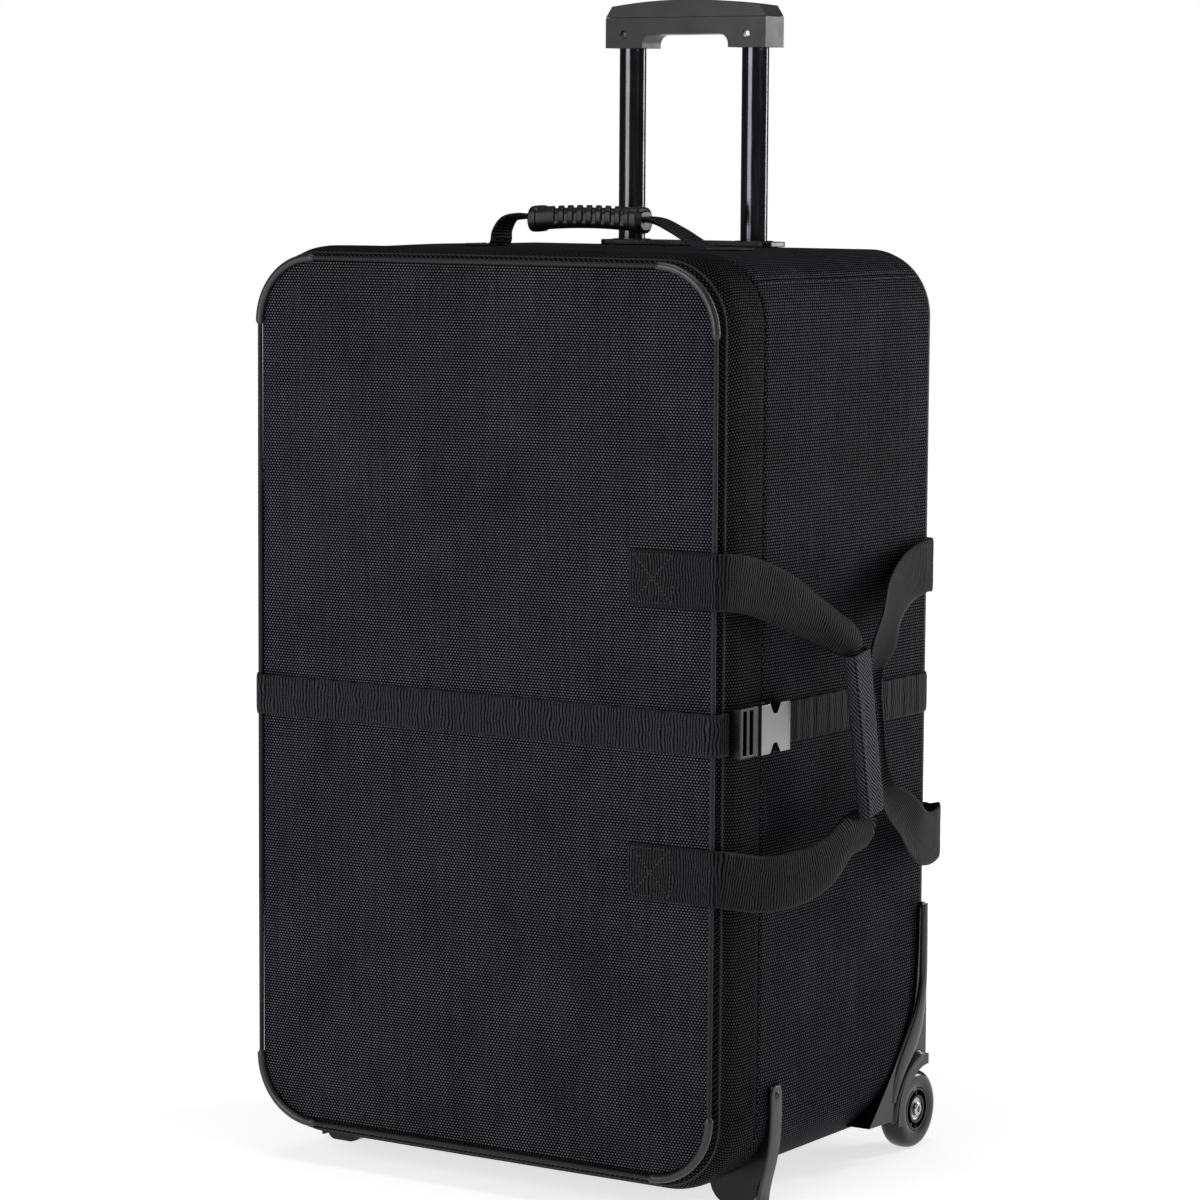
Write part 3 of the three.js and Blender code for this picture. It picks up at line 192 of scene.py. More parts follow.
def ease(x: Array, low: float, high: float) -> Array:
    """0 below low and 1 above high, smoothstep between."""
    t = np.clip((x - low) / (high - low), 0, 1)
    return t * t * (3 - 2 * t)


def carried(path: Array, side: Array, up: Array, section: Array) -> Array:
    """A section carried along a path: path + section x times side + section y times up.

    Args:
        path, side, up: n x 3.
        section: m x 2, or n x m x 2 where it changes on the way.

    Returns:
        n x m x 3 points.
    """
    section = np.broadcast_to(section, (len(path),) + section.shape[-2:])
    return path[:, None] + section[..., :1] * side[:, None] + section[..., 1:] * up[:, None]


def circle(radius: float, count: int) -> Array:
    """A closed circle of points, the last on the first."""
    angle = np.linspace(0, 2 * np.pi, count + 1)
    return radius * np.stack([np.cos(angle), np.sin(angle)], axis=1)


def rounded_box_section(half_u: float, half_v: float, radius: float, corner: int = 6) -> Array:
    """A closed rounded rectangle, each corner a quarter circle, the last point on the first."""
    angle = np.linspace(0, np.pi / 2, corner)
    quarter = np.stack([np.cos(angle), np.sin(angle)], axis=1) * radius
    turns = [(1, 1, 0), (-1, 1, 1), (-1, -1, 2), (1, -1, 3)]
    loops = []
    for sign_u, sign_v, quarter_turns in turns:
        c, s = math.cos(quarter_turns * math.pi / 2), math.sin(quarter_turns * math.pi / 2)
        turned = quarter @ np.array([[c, s], [-s, c]])
        loops.append(turned + (sign_u * (half_u - radius), sign_v * (half_v - radius)))
    loop = np.concatenate(loops)
    return np.concatenate([loop, loop[:1]])


def capped(points: Array) -> Surface:
    """A carried section closed at both ends: each end ring shrinks to its middle."""
    first = points[:1].mean(axis=1, keepdims=True).repeat(points.shape[1], axis=1)
    last = points[-1:].mean(axis=1, keepdims=True).repeat(points.shape[1], axis=1)
    return grid(np.concatenate([first, points, last]))


def turned_x(profile: Array, centre_y: float, centre_z: float, segments: int) -> Surface:
    """A profile of (x, radius) rows turned about the X axis line through (centre_y, centre_z)."""
    angle = np.linspace(0, 2 * np.pi, segments + 1)[:, None]
    x, radius = profile[:, 0], profile[:, 1]
    points = np.stack(
        [
            np.broadcast_to(x, (segments + 1, len(x))),
            centre_y + radius * np.cos(angle),
            centre_z + radius * np.sin(angle),
        ],
        axis=2,
    )
    return grid(points)


def repeated(base: Surface, places: Array, along: Array, up: Array) -> Surface:
    """Copies of a small surface: its x runs along, its z runs up, at each place."""
    along, up = unit(along), unit(up - (up * along).sum(1, keepdims=True) * along)
    side = np.cross(up, along)
    frames = np.stack([along, side, up], axis=1)
    points = places[:, None] + base.points @ frames
    faces = base.faces[None] + (np.arange(len(places)) * len(base.points))[:, None, None]
    cloth = np.broadcast_to(base.cloth, (len(places),) + base.cloth.shape)
    return Surface(points.reshape(-1, 3), faces.reshape(-1, 4), cloth.reshape(-1, 2))


# ---------------------------------------------------------------- the case's outline
@dataclass(frozen=True)
class Outline:
    """A rounded rectangle seen from the front: straight sides and four quarter-circle corners."""

    half: float
    low: float
    high: float
    radius: float

    def grown(self, by: float) -> "Outline":
        """The outline moved out by a distance, or in where it is negative."""
        return Outline(self.half + by, self.low - by, self.high + by, self.radius + by)

    def at(self, stops: Array) -> Array:
        """Points at stops, each a row of (stretch, share).

        Stretches run from the middle of the bottom edge to the right and round: even ones are straight,
        start plus share times their length, and odd ones are corners, centre plus radius times the cosine
        and sine of the angle.
        """
        w, r = self.half - self.radius, self.radius
        low, high = self.low + r, self.high - r
        stretch, share = stops[:, 0].astype(int), stops[:, 1]
        bottom, top, right, left = self.low, self.high, self.half, -self.half
        starts = np.array([(0, bottom), (right, low), (w, top), (left, high), (-w, bottom)])
        ends = np.array([(w, bottom), (right, high), (-w, top), (left, low), (0, bottom)])
        centres = np.array([(w, low), (w, high), (-w, high), (-w, low)])
        edge = np.minimum(stretch // 2, 4)
        straight = starts[edge] + (ends - starts)[edge] * share[:, None]
        corner = np.clip((stretch - 1) // 2, 0, 3)
        angle = (corner - 1 + share) * np.pi / 2
        curved = centres[corner] + r * np.stack([np.cos(angle), np.sin(angle)], axis=1)
        return np.where((stretch % 2 == 1)[:, None], curved, straight)


STRETCHES = (192, 97, 712, 97, 384, 97, 712, 97, 192)  # lengths of the case's stretches


def stops_round(seams: tuple[float, ...] = (), spacing: float = 7.0) -> Array:
    """Stops all the way round an outline, denser in the corners and near each seam.

    Args:
        seams: stretch plus share of each seam.
        spacing: millimetres between stops on the straight stretches.

    Returns:
        Rows of (stretch, share), the last on the first.
    """
    counts = [max(int(length / spacing), 2) * (2 if i % 2 else 1) for i, length in enumerate(STRETCHES)]
    even = [i + np.arange(n) / n for i, n in enumerate(counts)]
    near = [seam + np.linspace(-0.06, 0.06, 13) for seam in seams]
    rows = np.unique(np.round(np.concatenate(even + near), 5))
    stretch = np.floor(rows)
    rows = np.stack([stretch, rows - stretch], axis=1)
    return np.concatenate([rows, [[8, 1.0]]])


CASE = Outline(254, 26, 862, 62)
PIPED = Outline(249, 40, 853, 60)  # centre line of the lid's piping
SEAM_SHARES = (1.22, 3.44, 5.56, 7.78)  # lengthways seams, in the four corners
FACE_Y = -188.2
LID_REAR_Y = -115.3
TRAY_FRONT_Y = -114.7
BACK_Y = 191.0
BELT_Z = 444.0
WHEEL_Y, WHEEL_Z = 191.0, 38.0


def spine(ring: Array) -> Array:
    """Each point of a front-view ring moved to the nearest point of the ring's middle line."""
    half = np.abs(ring[:, 0]).max()
    low, high = ring[:, 1].min() + half, ring[:, 1].max() - half
    return np.stack([np.zeros(len(ring)), np.clip(ring[:, 1], low, high)], axis=1)


def ring_at(ring: Array, y: float | Array) -> Array:
    """A front-view ring of (x, z) as points at depth y."""
    return np.stack([ring[:, 0], np.broadcast_to(y, len(ring)), ring[:, 1]], axis=1)


def around(stops: Array) -> Array:
    """Distance round the case's outline at each stop."""
    return travelled(CASE.at(stops))


def panel(ring: Array, y: float, crown: float, steps: int = 26, wrinkle: float = 0.0) -> Surface:
    """A closed panel inside a ring, its points on straight lines from the ring to its middle line.

    The depth is y minus crown times (1 - (1 - share) to the sixth), plus small waves.

    Args:
        ring: front-view edge of the panel.
        y: depth of its edge.
        crown: how far the middle stands forward of the edge.
        steps: rings between the edge and the middle.
        wrinkle: height of the waves.
    """
    share = np.linspace(0, 1, steps) ** 1.6
    flat = ring[None] + share[:, None, None] * (spine(ring) - ring)[None]
    x, z = flat[..., 0], flat[..., 1]
    rise = crown * (1 - (1 - share[:, None]) ** 6)
    waves = np.sin(x / 47 + 1.3 * np.sin(z / 131)) + np.sin(z / 83 + 0.9 * np.sin(x / 59))
    fade = ease(share, 0.02, 0.2)[:, None]
    depth = y - rise - wrinkle * fade * (0.5 + 0.25 * waves)
    points = np.stack([x, depth, z], axis=2)
    return grid(points, np.stack([x, z], axis=2))


# ---------------------------------------------------------------- making objects
class Bench:
    """Where surfaces become objects: it holds the case frame's origin and the finishes made so far."""

    def __init__(self, frame: dict) -> None:
        """Reads the origin from the tray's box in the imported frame."""
        low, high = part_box("tray_cover")
        self.origin = np.array([(low.x + high.x) / 2, high.y - BACK_Y * MM, 0.0])
        self.nodes = frame["nodes"]
        self.made: dict[str, bpy.types.Material] = {}

    def row(self, x: float, y: float, z: float) -> tuple[float, float, float]:
        """A point of the case frame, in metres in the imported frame."""
        return tuple(np.array([x, y, z]) * MM + self.origin)

    def material(self, finish: "Finish") -> bpy.types.Material:
        """The finish's material, made once."""
        if finish.name not in self.made:
            self.made[finish.name] = finish.make()
        return self.made[finish.name]

    def add(
        self,
        name: str,
        surface: Surface,
        finish: "Finish",
        body: str,
        slot: str,
        replaces: tuple[str, ...] = (),
        closed: bool = True,
        wall: float = 0.0,
        sharp: float = 40.0,
    ) -> bpy.types.Object:
        """Makes a surface an object that rides on a body.

        Args:
            name: the piece's name.
            surface: its shape.
            finish: what it is made of.
            body: the body it moves with, or "" to leave it unattached.
            slot: the record's material slot; not used.
            replaces: CAD nodes it stands for.
            closed: whether its faces close, and are turned outwards.
            wall: thickness put inside an open sheet, in millimetres.
            sharp: angle in degrees past which an edge stays sharp.

        Returns:
            The object.
        """
        mesh = bpy.data.meshes.new(name)
        points = surface.points * MM + self.origin
        mesh.from_pydata(points, [], surface.faces)
        layer = mesh.uv_layers.new(name="Cloth")
        layer.data.foreach_set("uv", surface.cloth[surface.faces.ravel()].astype(np.float32).ravel())
        bm = bmesh.new()
        bm.from_mesh(mesh)
        bmesh.ops.remove_doubles(bm, verts=bm.verts, dist=WELD)
        bmesh.ops.dissolve_degenerate(bm, edges=bm.edges, dist=WELD)
        if closed:
            bmesh.ops.recalc_face_normals(bm, faces=bm.faces)
        bm.to_mesh(mesh)
        bm.free()
        piece = bpy.data.objects.new(name, mesh)
        bpy.context.scene.collection.objects.link(piece)
        if wall:
            solidify = piece.modifiers.new("wall", "SOLIDIFY")
            solidify.thickness, solidify.offset = wall * MM, -1
        return self.finish(piece, finish, body, slot, replaces, sharp)

    def finish(
        self,
        piece: bpy.types.Object,
        finish: "Finish",
        body: str,
        slot: str,
        replaces: tuple[str, ...],
        sharp: float,
    ) -> bpy.types.Object:
        """Shades a piece, dresses it and attaches it to its body."""
        mesh = piece.data
        mesh.polygons.foreach_set("use_smooth", np.ones(len(mesh.polygons), bool))
        mesh.set_sharp_from_angle(angle=math.radians(sharp))
        mesh.materials.clear()
        mesh.materials.append(self.material(finish))
        if body:
            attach(piece, body)
        if replaces:
            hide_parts(*replaces)
        LOG.info("%s: %d faces", piece.name, len(mesh.polygons))
        return piece

    def bevelled(
        self,
        node: str,
        finish: "Finish",
        slot: str,
        width: float,
        segments: int = 3,
        angle: float = 30.0,
    ) -> bpy.types.Object:
        """A copy of a CAD node with its edges rounded, standing for the node.

        Args:
            node: the CAD node.
            finish: what it is made of.
            slot: the record's material slot; not used.
            width: bevel width in millimetres.
            segments: steps across the bevel.
            angle: edges turning more than this many degrees are rounded.
        """
        source = self.nodes[node]
        mesh = source.data.copy()
        bm = bmesh.new()
        bm.from_mesh(mesh)
        bmesh.ops.remove_doubles(bm, verts=bm.verts, dist=1e-5)
        bmesh.ops.dissolve_limit(bm, angle_limit=math.radians(1), verts=bm.verts, edges=bm.edges)
        bm.to_mesh(mesh)
        bm.free()
        piece = bpy.data.objects.new("rounded_" + node, mesh)
        bpy.context.scene.collection.objects.link(piece)
        bevel = piece.modifiers.new("edges", "BEVEL")
        bevel.width, bevel.segments = width * MM, segments
        bevel.limit_method, bevel.angle_limit = "ANGLE", math.radians(angle)
        bevel.use_clamp_overlap = True
        weighted = piece.modifiers.new("shading", "WEIGHTED_NORMAL")
        weighted.weight = 100
        return self.finish(piece, finish, source["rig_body"], slot, (node,), 180.0)

    def dress(self, node: str, finish: "Finish") -> None:
        """Gives a CAD node that stays shown a finish."""
        mesh = self.nodes[node].data
        mesh.materials.clear()
        mesh.materials.append(self.material(finish))


# ---------------------------------------------------------------- finishes
def linear(colour: str) -> tuple[float, float, float, float]:
    """An sRGB hex colour as linear RGBA."""
    shares = [int(colour[i : i + 2], 16) / 255 for i in (0, 2, 4)]
    bent = [s / 12.92 if s <= 0.04045 else ((s + 0.055) / 1.055) ** 2.4 for s in shares]
    return (*bent, 1.0)


def add_node(
    tree: bpy.types.NodeTree, kind: str, sockets: dict | None = None, **settings: object
) -> bpy.types.Node:
    """Adds one node to a tree.

    Args:
        tree: the material's or world's node tree.
        kind: the node's type.
        sockets: input name or number to a value, or to the output that feeds it.
        settings: the node's own properties.

    Returns:
        The node.
    """
    made = tree.nodes.new(kind)
    for key, value in settings.items():
        setattr(made, key, value)
    for key, value in (sockets or {}).items():
        if isinstance(value, bpy.types.NodeSocket):
            tree.links.new(value, made.inputs[key])
        else:
            made.inputs[key].default_value = value
    return made


class Maths:
    """Arithmetic on node outputs, one Math node for each step."""

    def __init__(self, tree: bpy.types.NodeTree) -> None:
        """Keeps the tree that the nodes go into."""
        self.tree = tree

    def __call__(self, operation: str, *values: object) -> bpy.types.NodeSocket:
        """The result of an operation on numbers or outputs."""
        sockets = dict(enumerate(values))
        return add_node(self.tree, "ShaderNodeMath", sockets, operation=operation).outputs[0]

    def humps(self, value: object) -> bpy.types.NodeSocket:
        """Rounded humps, one for each whole number: the size of the sine of pi times the value."""
        return self("ABSOLUTE", self("SINE", self("MULTIPLY", value, math.pi)))

    def mapped(
        self, value: object, low: float, high: float, first: float, last: float
    ) -> bpy.types.NodeSocket:
        """The value moved from one range to another, and kept inside it."""
        sockets = {"Value": value, "From Min": low, "From Max": high, "To Min": first, "To Max": last}
        return add_node(self.tree, "ShaderNodeMapRange", sockets).outputs[0]


class Coordinates(Enum):
    """Where a pattern is read from."""

    OBJECT = "Object"
    CLOTH = "UV"


@dataclass(frozen=True)
class Finish:
    """What every finish has: a name, a colour, and how it takes the light."""

    name: str
    colour: str
    roughness: float
    metallic: float = 0.0
    ior: float = 1.5
    sheen: float = 0.0
    coat: float = 0.0
    shine: float = 0.5

    def make(self) -> bpy.types.Material:
        """The material, its pattern drawn by the finish's own pattern method."""
        material = bpy.data.materials.new(self.name)
        material.use_nodes = True
        tree = material.node_tree
        tree.nodes.clear()
        shader = add_node(tree, "ShaderNodeBsdfPrincipled")
        shader.inputs["Metallic"].default_value = self.metallic
        if not self.metallic:
            shader.inputs["IOR"].default_value = self.ior
        shader.inputs["Sheen Weight"].default_value = self.sheen
        shader.inputs["Sheen Roughness"].default_value = 0.4
        shader.inputs["Coat Weight"].default_value = self.coat
        shader.inputs["Coat Roughness"].default_value = 0.12
        shader.inputs["Specular IOR Level"].default_value = self.shine
        add_node(tree, "ShaderNodeOutputMaterial", {"Surface": shader.outputs[0]})
        self.pattern(tree, shader)
        return material

    def pattern(self, tree: bpy.types.NodeTree, shader: bpy.types.Node) -> None:
        """Draws the finish on the shader."""
        raise NotImplementedError

    @staticmethod
    def place(tree: bpy.types.NodeTree, kind: Coordinates) -> bpy.types.NodeSocket:
        """The coordinates a pattern reads."""
        return add_node(tree, "ShaderNodeTexCoord").outputs[kind.value]

    @staticmethod
    def noise(
        tree: bpy.types.NodeTree, place: bpy.types.NodeSocket, size_mm: float, detail: float = 2.0
    ) -> bpy.types.NodeSocket:
        """Noise whose lumps are about size_mm across, on metre coordinates."""
        sockets = {"Vector": place, "Scale": 1 / (size_mm * MM), "Detail": detail}
        return add_node(tree, "ShaderNodeTexNoise", sockets).outputs[0]

    @staticmethod
    def raised(
        tree: bpy.types.NodeTree, shader: bpy.types.Node, height: bpy.types.NodeSocket, depth_mm: float
    ) -> None:
        """Bump of a height between 0 and 1, depth_mm deep."""
        sockets = {"Height": height, "Strength": 1.0, "Distance": depth_mm * MM}
        bumped = add_node(tree, "ShaderNodeBump", sockets)
        tree.links.new(bumped.outputs[0], shader.inputs["Normal"])

    @staticmethod
    def toned(
        tree: bpy.types.NodeTree,
        shader: bpy.types.Node,
        share: bpy.types.NodeSocket,
        low: str,
        high: str,
    ) -> None:
        """Base colour from low to high by a share."""
        sockets = {MIX_SHARE: share, MIX_LOW: linear(low), MIX_HIGH: linear(high)}
        mixed = add_node(tree, "ShaderNodeMix", sockets, data_type="RGBA")
        tree.links.new(mixed.outputs[MIX_RESULT], shader.inputs["Base Color"])


@dataclass(frozen=True)
class BallisticNylon(Finish):
    """Basket-woven ballistic nylon: matt, its colour lighter on each thread's crown as a painted highlight
    and darker in the gaps between as painted shade.
    """

    shaded_gap: str = "050506"
    pitch: float = 3.1  # threads are 1.4 mm apart on the cloth, drawn coarser so that they show
    row: float = 2.3
    stagger: float = 0.5  # how far each row is shifted, in pitches
    fold: float = 1.0  # rows before the shift turns back
    depth: float = 0.3
    pinch: float = 2.0  # power that narrows the painted highlight on the crowns

    def pattern(self, tree: bpy.types.NodeTree, shader: bpy.types.Node) -> None:
        """Humps in staggered rows, with lit crowns and shaded gaps painted into the colour, broad cloudiness
        and faint lengthways streaks.
        """
        maths = Maths(tree)
        cloth = add_node(tree, "ShaderNodeSeparateXYZ", {0: self.place(tree, Coordinates.CLOTH)})
        u, v = cloth.outputs[0], cloth.outputs[1]
        rows = maths("DIVIDE", v, self.row)
        shift = maths("PINGPONG", maths("FLOOR", rows), self.fold)
        threads = maths("ADD", maths("DIVIDE", u, self.pitch), maths("MULTIPLY", shift, self.stagger))
        weave = maths("MULTIPLY", maths.humps(threads), maths.humps(rows))
        where = self.place(tree, Coordinates.OBJECT)
        cloud = self.noise(tree, where, 60, 3)
        stretched = add_node(tree, "ShaderNodeMapping", {"Vector": where, "Scale": (1, 1, 0.08)}).outputs[0]
        streak = self.noise(tree, stretched, 5, 2)
        fuzz = self.noise(tree, where, 1.2, 1)
        clouded = maths.mapped(cloud, 0.3, 0.7, 0.8, 1.1)
        uneven = maths("MULTIPLY", clouded, maths.mapped(streak, 0.3, 0.7, 0.82, 1.12))
        speckled = maths("MULTIPLY", uneven, maths.mapped(fuzz, 0.3, 0.7, 0.7, 1.2))
        crown_light_and_tone = maths("MULTIPLY", maths("POWER", weave, self.pinch), speckled)
        # Base colour from the painted shade of the gaps to the painted highlight of the crowns, times random
        # tone.
        self.toned(tree, shader, crown_light_and_tone, self.shaded_gap, self.colour)
        tree.links.new(maths("MULTIPLY", crown_light_and_tone, self.shine), shader.inputs["Specular IOR Level"])
        rough = maths.mapped(fuzz, 0.3, 0.7, self.roughness - 0.06, self.roughness + 0.08)
        tree.links.new(rough, shader.inputs["Roughness"])
        self.raised(tree, shader, weave, self.depth)


@dataclass(frozen=True)
class RibbedWebbing(Finish):
    """Woven nylon webbing: ribs across the strap, rounded, with a firm selvage along each edge; its colour
    lighter on the rib tops as a painted highlight and darker between them as painted shade.
    """

    shaded_gap: str = "060607"
    rib: float = 2.9  # ribs are about 1.8 mm apart on the strap, drawn coarser so that they show
    cord: float = 1.7
    half_width: float = 25.4
    lean: float = 0.0  # slant of the ribs, along for each millimetre across
    depth: float = 0.45

    def pattern(self, tree: bpy.types.NodeTree, shader: bpy.types.Node) -> None:
        """Rib humps along the strap times finer humps across it, fading into the selvage, painted into the
        colour as light on the tops and shade between.
        """
        maths = Maths(tree)
        cloth = add_node(tree, "ShaderNodeSeparateXYZ", {0: self.place(tree, Coordinates.CLOTH)})
        u, v = cloth.outputs[0], cloth.outputs[1]
        where = self.place(tree, Coordinates.OBJECT)
        wander = maths.mapped(self.noise(tree, where, 14, 1), 0.2, 0.8, -0.5, 0.5)
        leant = maths("ADD", u, maths("MULTIPLY", v, self.lean))
        slanted = maths("ADD", maths("DIVIDE", leant, self.rib), wander)
        ribs = maths.humps(slanted)
        cords = maths.mapped(maths.humps(maths("DIVIDE", v, self.cord)), 0, 1, 0.72, 1)
        edge = maths.mapped(maths("ABSOLUTE", v), self.half_width - 2.6, self.half_width - 1.4, 0, 1)
        body = maths("MULTIPLY", ribs, cords)
        fuzz = self.noise(tree, where, 1.0, 1)
        height = maths("MAXIMUM", body, maths("MULTIPLY", edge, 0.75))
        shade = maths("MULTIPLY", maths("POWER", height, 1.6), maths.mapped(fuzz, 0.3, 0.7, 0.6, 1.25))
        # The colour runs from the painted shade between the ribs to the painted highlight on their tops,
        # times random tone.
        self.toned(tree, shader, shade, self.shaded_gap, self.colour)
        tree.links.new(maths("MULTIPLY", shade, self.shine), shader.inputs["Specular IOR Level"])
        rough = maths.mapped(fuzz, 0.3, 0.7, self.roughness - 0.08, self.roughness + 0.08)
        tree.links.new(rough, shader.inputs["Roughness"])
        self.raised(tree, shader, height, self.depth)


@dataclass(frozen=True)
class MouldedPlastic(Finish):
    """Injection-moulded plastic: one tone, a fine eroded grain and rubbed, slightly shinier patches."""

    worn: str = "2b2b2d"
    grain: float = 0.9
    depth: float = 0.05
    spread: float = 0.06  # how far the roughness wanders

    def pattern(self, tree: bpy.types.NodeTree, shader: bpy.types.Node) -> None:
        """Grain bump, broad wear in the tone and the roughness."""
        maths = Maths(tree)
        where = self.place(tree, Coordinates.OBJECT)
        grain = self.noise(tree, where, self.grain, 3)
        wear = self.noise(tree, where, 22, 4)
        self.toned(tree, shader, maths.mapped(wear, 0.45, 0.75, 0, 1), self.colour, self.worn)
        rough = maths.mapped(wear, 0.3, 0.7, self.roughness + self.spread, self.roughness - self.spread)
        tree.links.new(rough, shader.inputs["Roughness"])
        self.raised(tree, shader, grain, self.depth)


@dataclass(frozen=True)
class DrawnMetal(Finish):
    """Drawn or turned metal: faint lines along the draw, and a slightly wandering polish."""

    worn: str = "2b2b2d"
    along: tuple[float, float, float] = (1.0, 1.0, 0.03)  # the lines are drawn out along the small number

    def pattern(self, tree: bpy.types.NodeTree, shader: bpy.types.Node) -> None:
        """Stretched noise in the roughness and a very shallow bump."""
        maths = Maths(tree)
        where = self.place(tree, Coordinates.OBJECT)
        stretched = add_node(tree, "ShaderNodeMapping", {"Vector": where, "Scale": self.along}).outputs[0]
        lines = self.noise(tree, stretched, 1.1, 3)
        wear = self.noise(tree, where, 35, 3)
        self.toned(tree, shader, maths.mapped(wear, 0.5, 0.75, 0, 1), self.colour, self.worn)
        rough = maths.mapped(lines, 0.3, 0.7, self.roughness - 0.05, self.roughness + 0.07)
        tree.links.new(rough, shader.inputs["Roughness"])
        self.raised(tree, shader, lines, 0.015)


@dataclass(frozen=True)
class Knit(Finish):
    """Brushed tricot over foam, or raw board: short soft fibres and no visible thread."""

    worn: str = "3a3d43"
    fibre: float = 1.6
    depth: float = 0.2

    def pattern(self, tree: bpy.types.NodeTree, shader: bpy.types.Node) -> None:
        """Fibre noise in the tone and the bump, with broad brushing marks."""
        maths = Maths(tree)
        where = self.place(tree, Coordinates.OBJECT)
        fibres = self.noise(tree, where, self.fibre, 4)
        brushed = self.noise(tree, where, 45, 2)
        fuzzy = maths.mapped(fibres, 0.3, 0.7, 0.4, 1)
        tone = maths("MULTIPLY", fuzzy, maths.mapped(brushed, 0.3, 0.7, 0.6, 1))
        self.toned(tree, shader, tone, self.colour, self.worn)
        shader.inputs["Roughness"].default_value = self.roughness
        self.raised(tree, shader, fibres, self.depth)


NYLON_FRONT = BallisticNylon(
    "ballistic nylon, lid face", "58575f", 0.6, shine=0.2, shaded_gap="010101", pitch=3.3, row=2.5,
    pinch=2.6
)
# The gusset's copy of the same nylon is darker than the sides' copy: painted shade on that recessed band.
NYLON_GUSSET_SHADED = BallisticNylon(
    "ballistic nylon, gusset, darkened as painted shade", "2d2c30", 0.6, shine=0.15, shaded_gap="010101", pitch=3.7, row=2.7
)
NYLON_SIDE = BallisticNylon(
    "ballistic nylon, sides", "3e3d43", 0.6, shine=0.15, shaded_gap="020202", pitch=3.8, row=2.8,
    stagger=0.33, fold=2.0, pinch=1.9
)
GRAB_WEB = RibbedWebbing("nylon webbing, 50 mm", "252528", 0.6, shine=0.2, shaded_gap="010101")
BELT_WEB = RibbedWebbing(
    "nylon webbing, 38 mm", "2b2b2f", 0.6, shine=0.2, shaded_gap="010101", half_width=19.0, rib=3.4
)
SLEEVE_WEB = RibbedWebbing(
    "twill-woven sleeve", "48484e", 0.6, shine=0.25, shaded_gap="010101", half_width=1000.0, rib=4.2,
    lean=1.1, cord=3.0
)
CORD = Knit("braided piping cord", "060607", 0.6, worn="101011", shine=0.3, fibre=0.9, depth=0.15)
THREAD = Knit("bonded nylon thread", "0b0b0c", 0.4, worn="1d1d1f", fibre=0.6, depth=0.05)
TRIM = MouldedPlastic("moulded corner trim", "141416", 0.4, worn="1d1d1f", depth=0.03)
MOULDED = MouldedPlastic(
    "glass-filled nylon moulding", "08080a", 0.22, worn="0f0f10", depth=0.015, shine=0.38
)
STRIP = MouldedPlastic("polypropylene runner", "1f2022", 0.42, worn="2a2b2d", depth=0.05)
GRIP = MouldedPlastic(
    "textured grip moulding", "080809", 0.36, worn="0f0f10", shine=0.3, grain=0.7, depth=0.05
)
SOFT_GRIP = MouldedPlastic(
    "soft-touch handle moulding", "0c0c0d", 0.36, worn="141415", shine=0.35, grain=0.8, depth=0.04
)
ACETAL = MouldedPlastic("polished acetal", "0c0c0d", 0.16, worn="141415", depth=0.006, coat=1.0)
HUB = MouldedPlastic("nylon wheel core", "050506", 0.28, worn="0b0b0c", shine=0.3, depth=0.02)
TYRE = MouldedPlastic(
    "cast polyurethane", "0b0b0c", 0.22, worn="131314", shine=0.35, grain=2.0, depth=0.015
)
TUBE = DrawnMetal("black anodised aluminium", "434346", 0.12, metallic=1.0, worn="4a4a4d")
STEEL = DrawnMetal("zinc-plated steel", "b4b6ba", 0.26, metallic=1.0, worn="8f9195", along=(1.0, 1.0, 1.0))
DARK_STEEL = DrawnMetal(
    "blackened steel", "3a3a3c", 0.34, metallic=1.0, worn="4c4c4e", along=(1.0, 1.0, 1.0)
)
LINING = Knit("brushed tricot lining", "14161a", 0.95, sheen=0.15, worn="2b2e34")
BOARD = Knit("polypropylene board", "1a1a1a", 0.7, worn="2a2a29", fibre=2.4, depth=0.06)


# ---------------------------------------------------------------- webbing
def flat_strap(
    path: Array,
    across: Array,
    width: Array | float,
    thickness: float,
    curl: Array | float = 0.0,
    press: Array | float = 1.0,
) -> Surface:
    """Webbing carried along a path, closed all round.

    The section is an arc as long as the strap is wide: across = R sin(a), out = press R (1 - cos(a)), where
    R is the width over the curl, the arc's whole angle, and a runs over it. The strap's two faces stand
    half its thickness off that arc and meet in a rounded edge.

    Args:
        path: n x 3 middle line.
        across: n x 3 direction of the width.
        width: one width, or n of them.
        thickness: of the webbing.
        curl: angle the section is rolled through, in radians.
        press: how much of the arc's depth is left.

    Returns:
        The closed surface, its cloth coordinates along and across the strap.
    """
    count = len(path)
    tangent = unit(np.gradient(path, axis=0))
    across = unit(across - (across * tangent).sum(1, keepdims=True) * tangent)
    out = np.cross(across, tangent)
    width = np.broadcast_to(np.asarray(width, float), count)[:, None]
    curl = np.maximum(np.broadcast_to(np.asarray(curl, float), count), 1e-3)[:, None]
    press = np.broadcast_to(np.asarray(press, float), count)[:, None]
    columns = 15
    share = np.linspace(-1, 1, columns)[None]
    angle = share * curl / 2
    radius = width / curl
    u, v = radius * np.sin(angle), press * radius * (1 - np.cos(angle))
    normal_u, normal_v = -np.sin(angle) * press, np.cos(angle)
    length = np.hypot(normal_u, normal_v)
    half = thickness / 2 * (1 - np.abs(share) ** 10)
    top = np.stack([u + half * normal_u / length, v + half * normal_v / length], axis=2)
    low = np.stack([u - half * normal_u / length, v - half * normal_v / length], axis=2)
    section = np.concatenate([top, low[:, ::-1][:, 1:]], axis=1)
    points = carried(path, across, out, section)
    run = travelled(path)
    shares = np.concatenate([share[0], share[0][::-1][1:]])
    cloth = np.stack(np.broadcast_arrays(run[:, None], shares[None] * width / 2), axis=2)
    ends = []
    for row in (0, -1):
        upper, lower = points[row, :columns], points[row, ::-1][:columns]
        ends.append(grid(np.stack([upper, lower]), np.stack([cloth[row, :columns]] * 2)))
    return merged(grid(points, cloth), *ends)


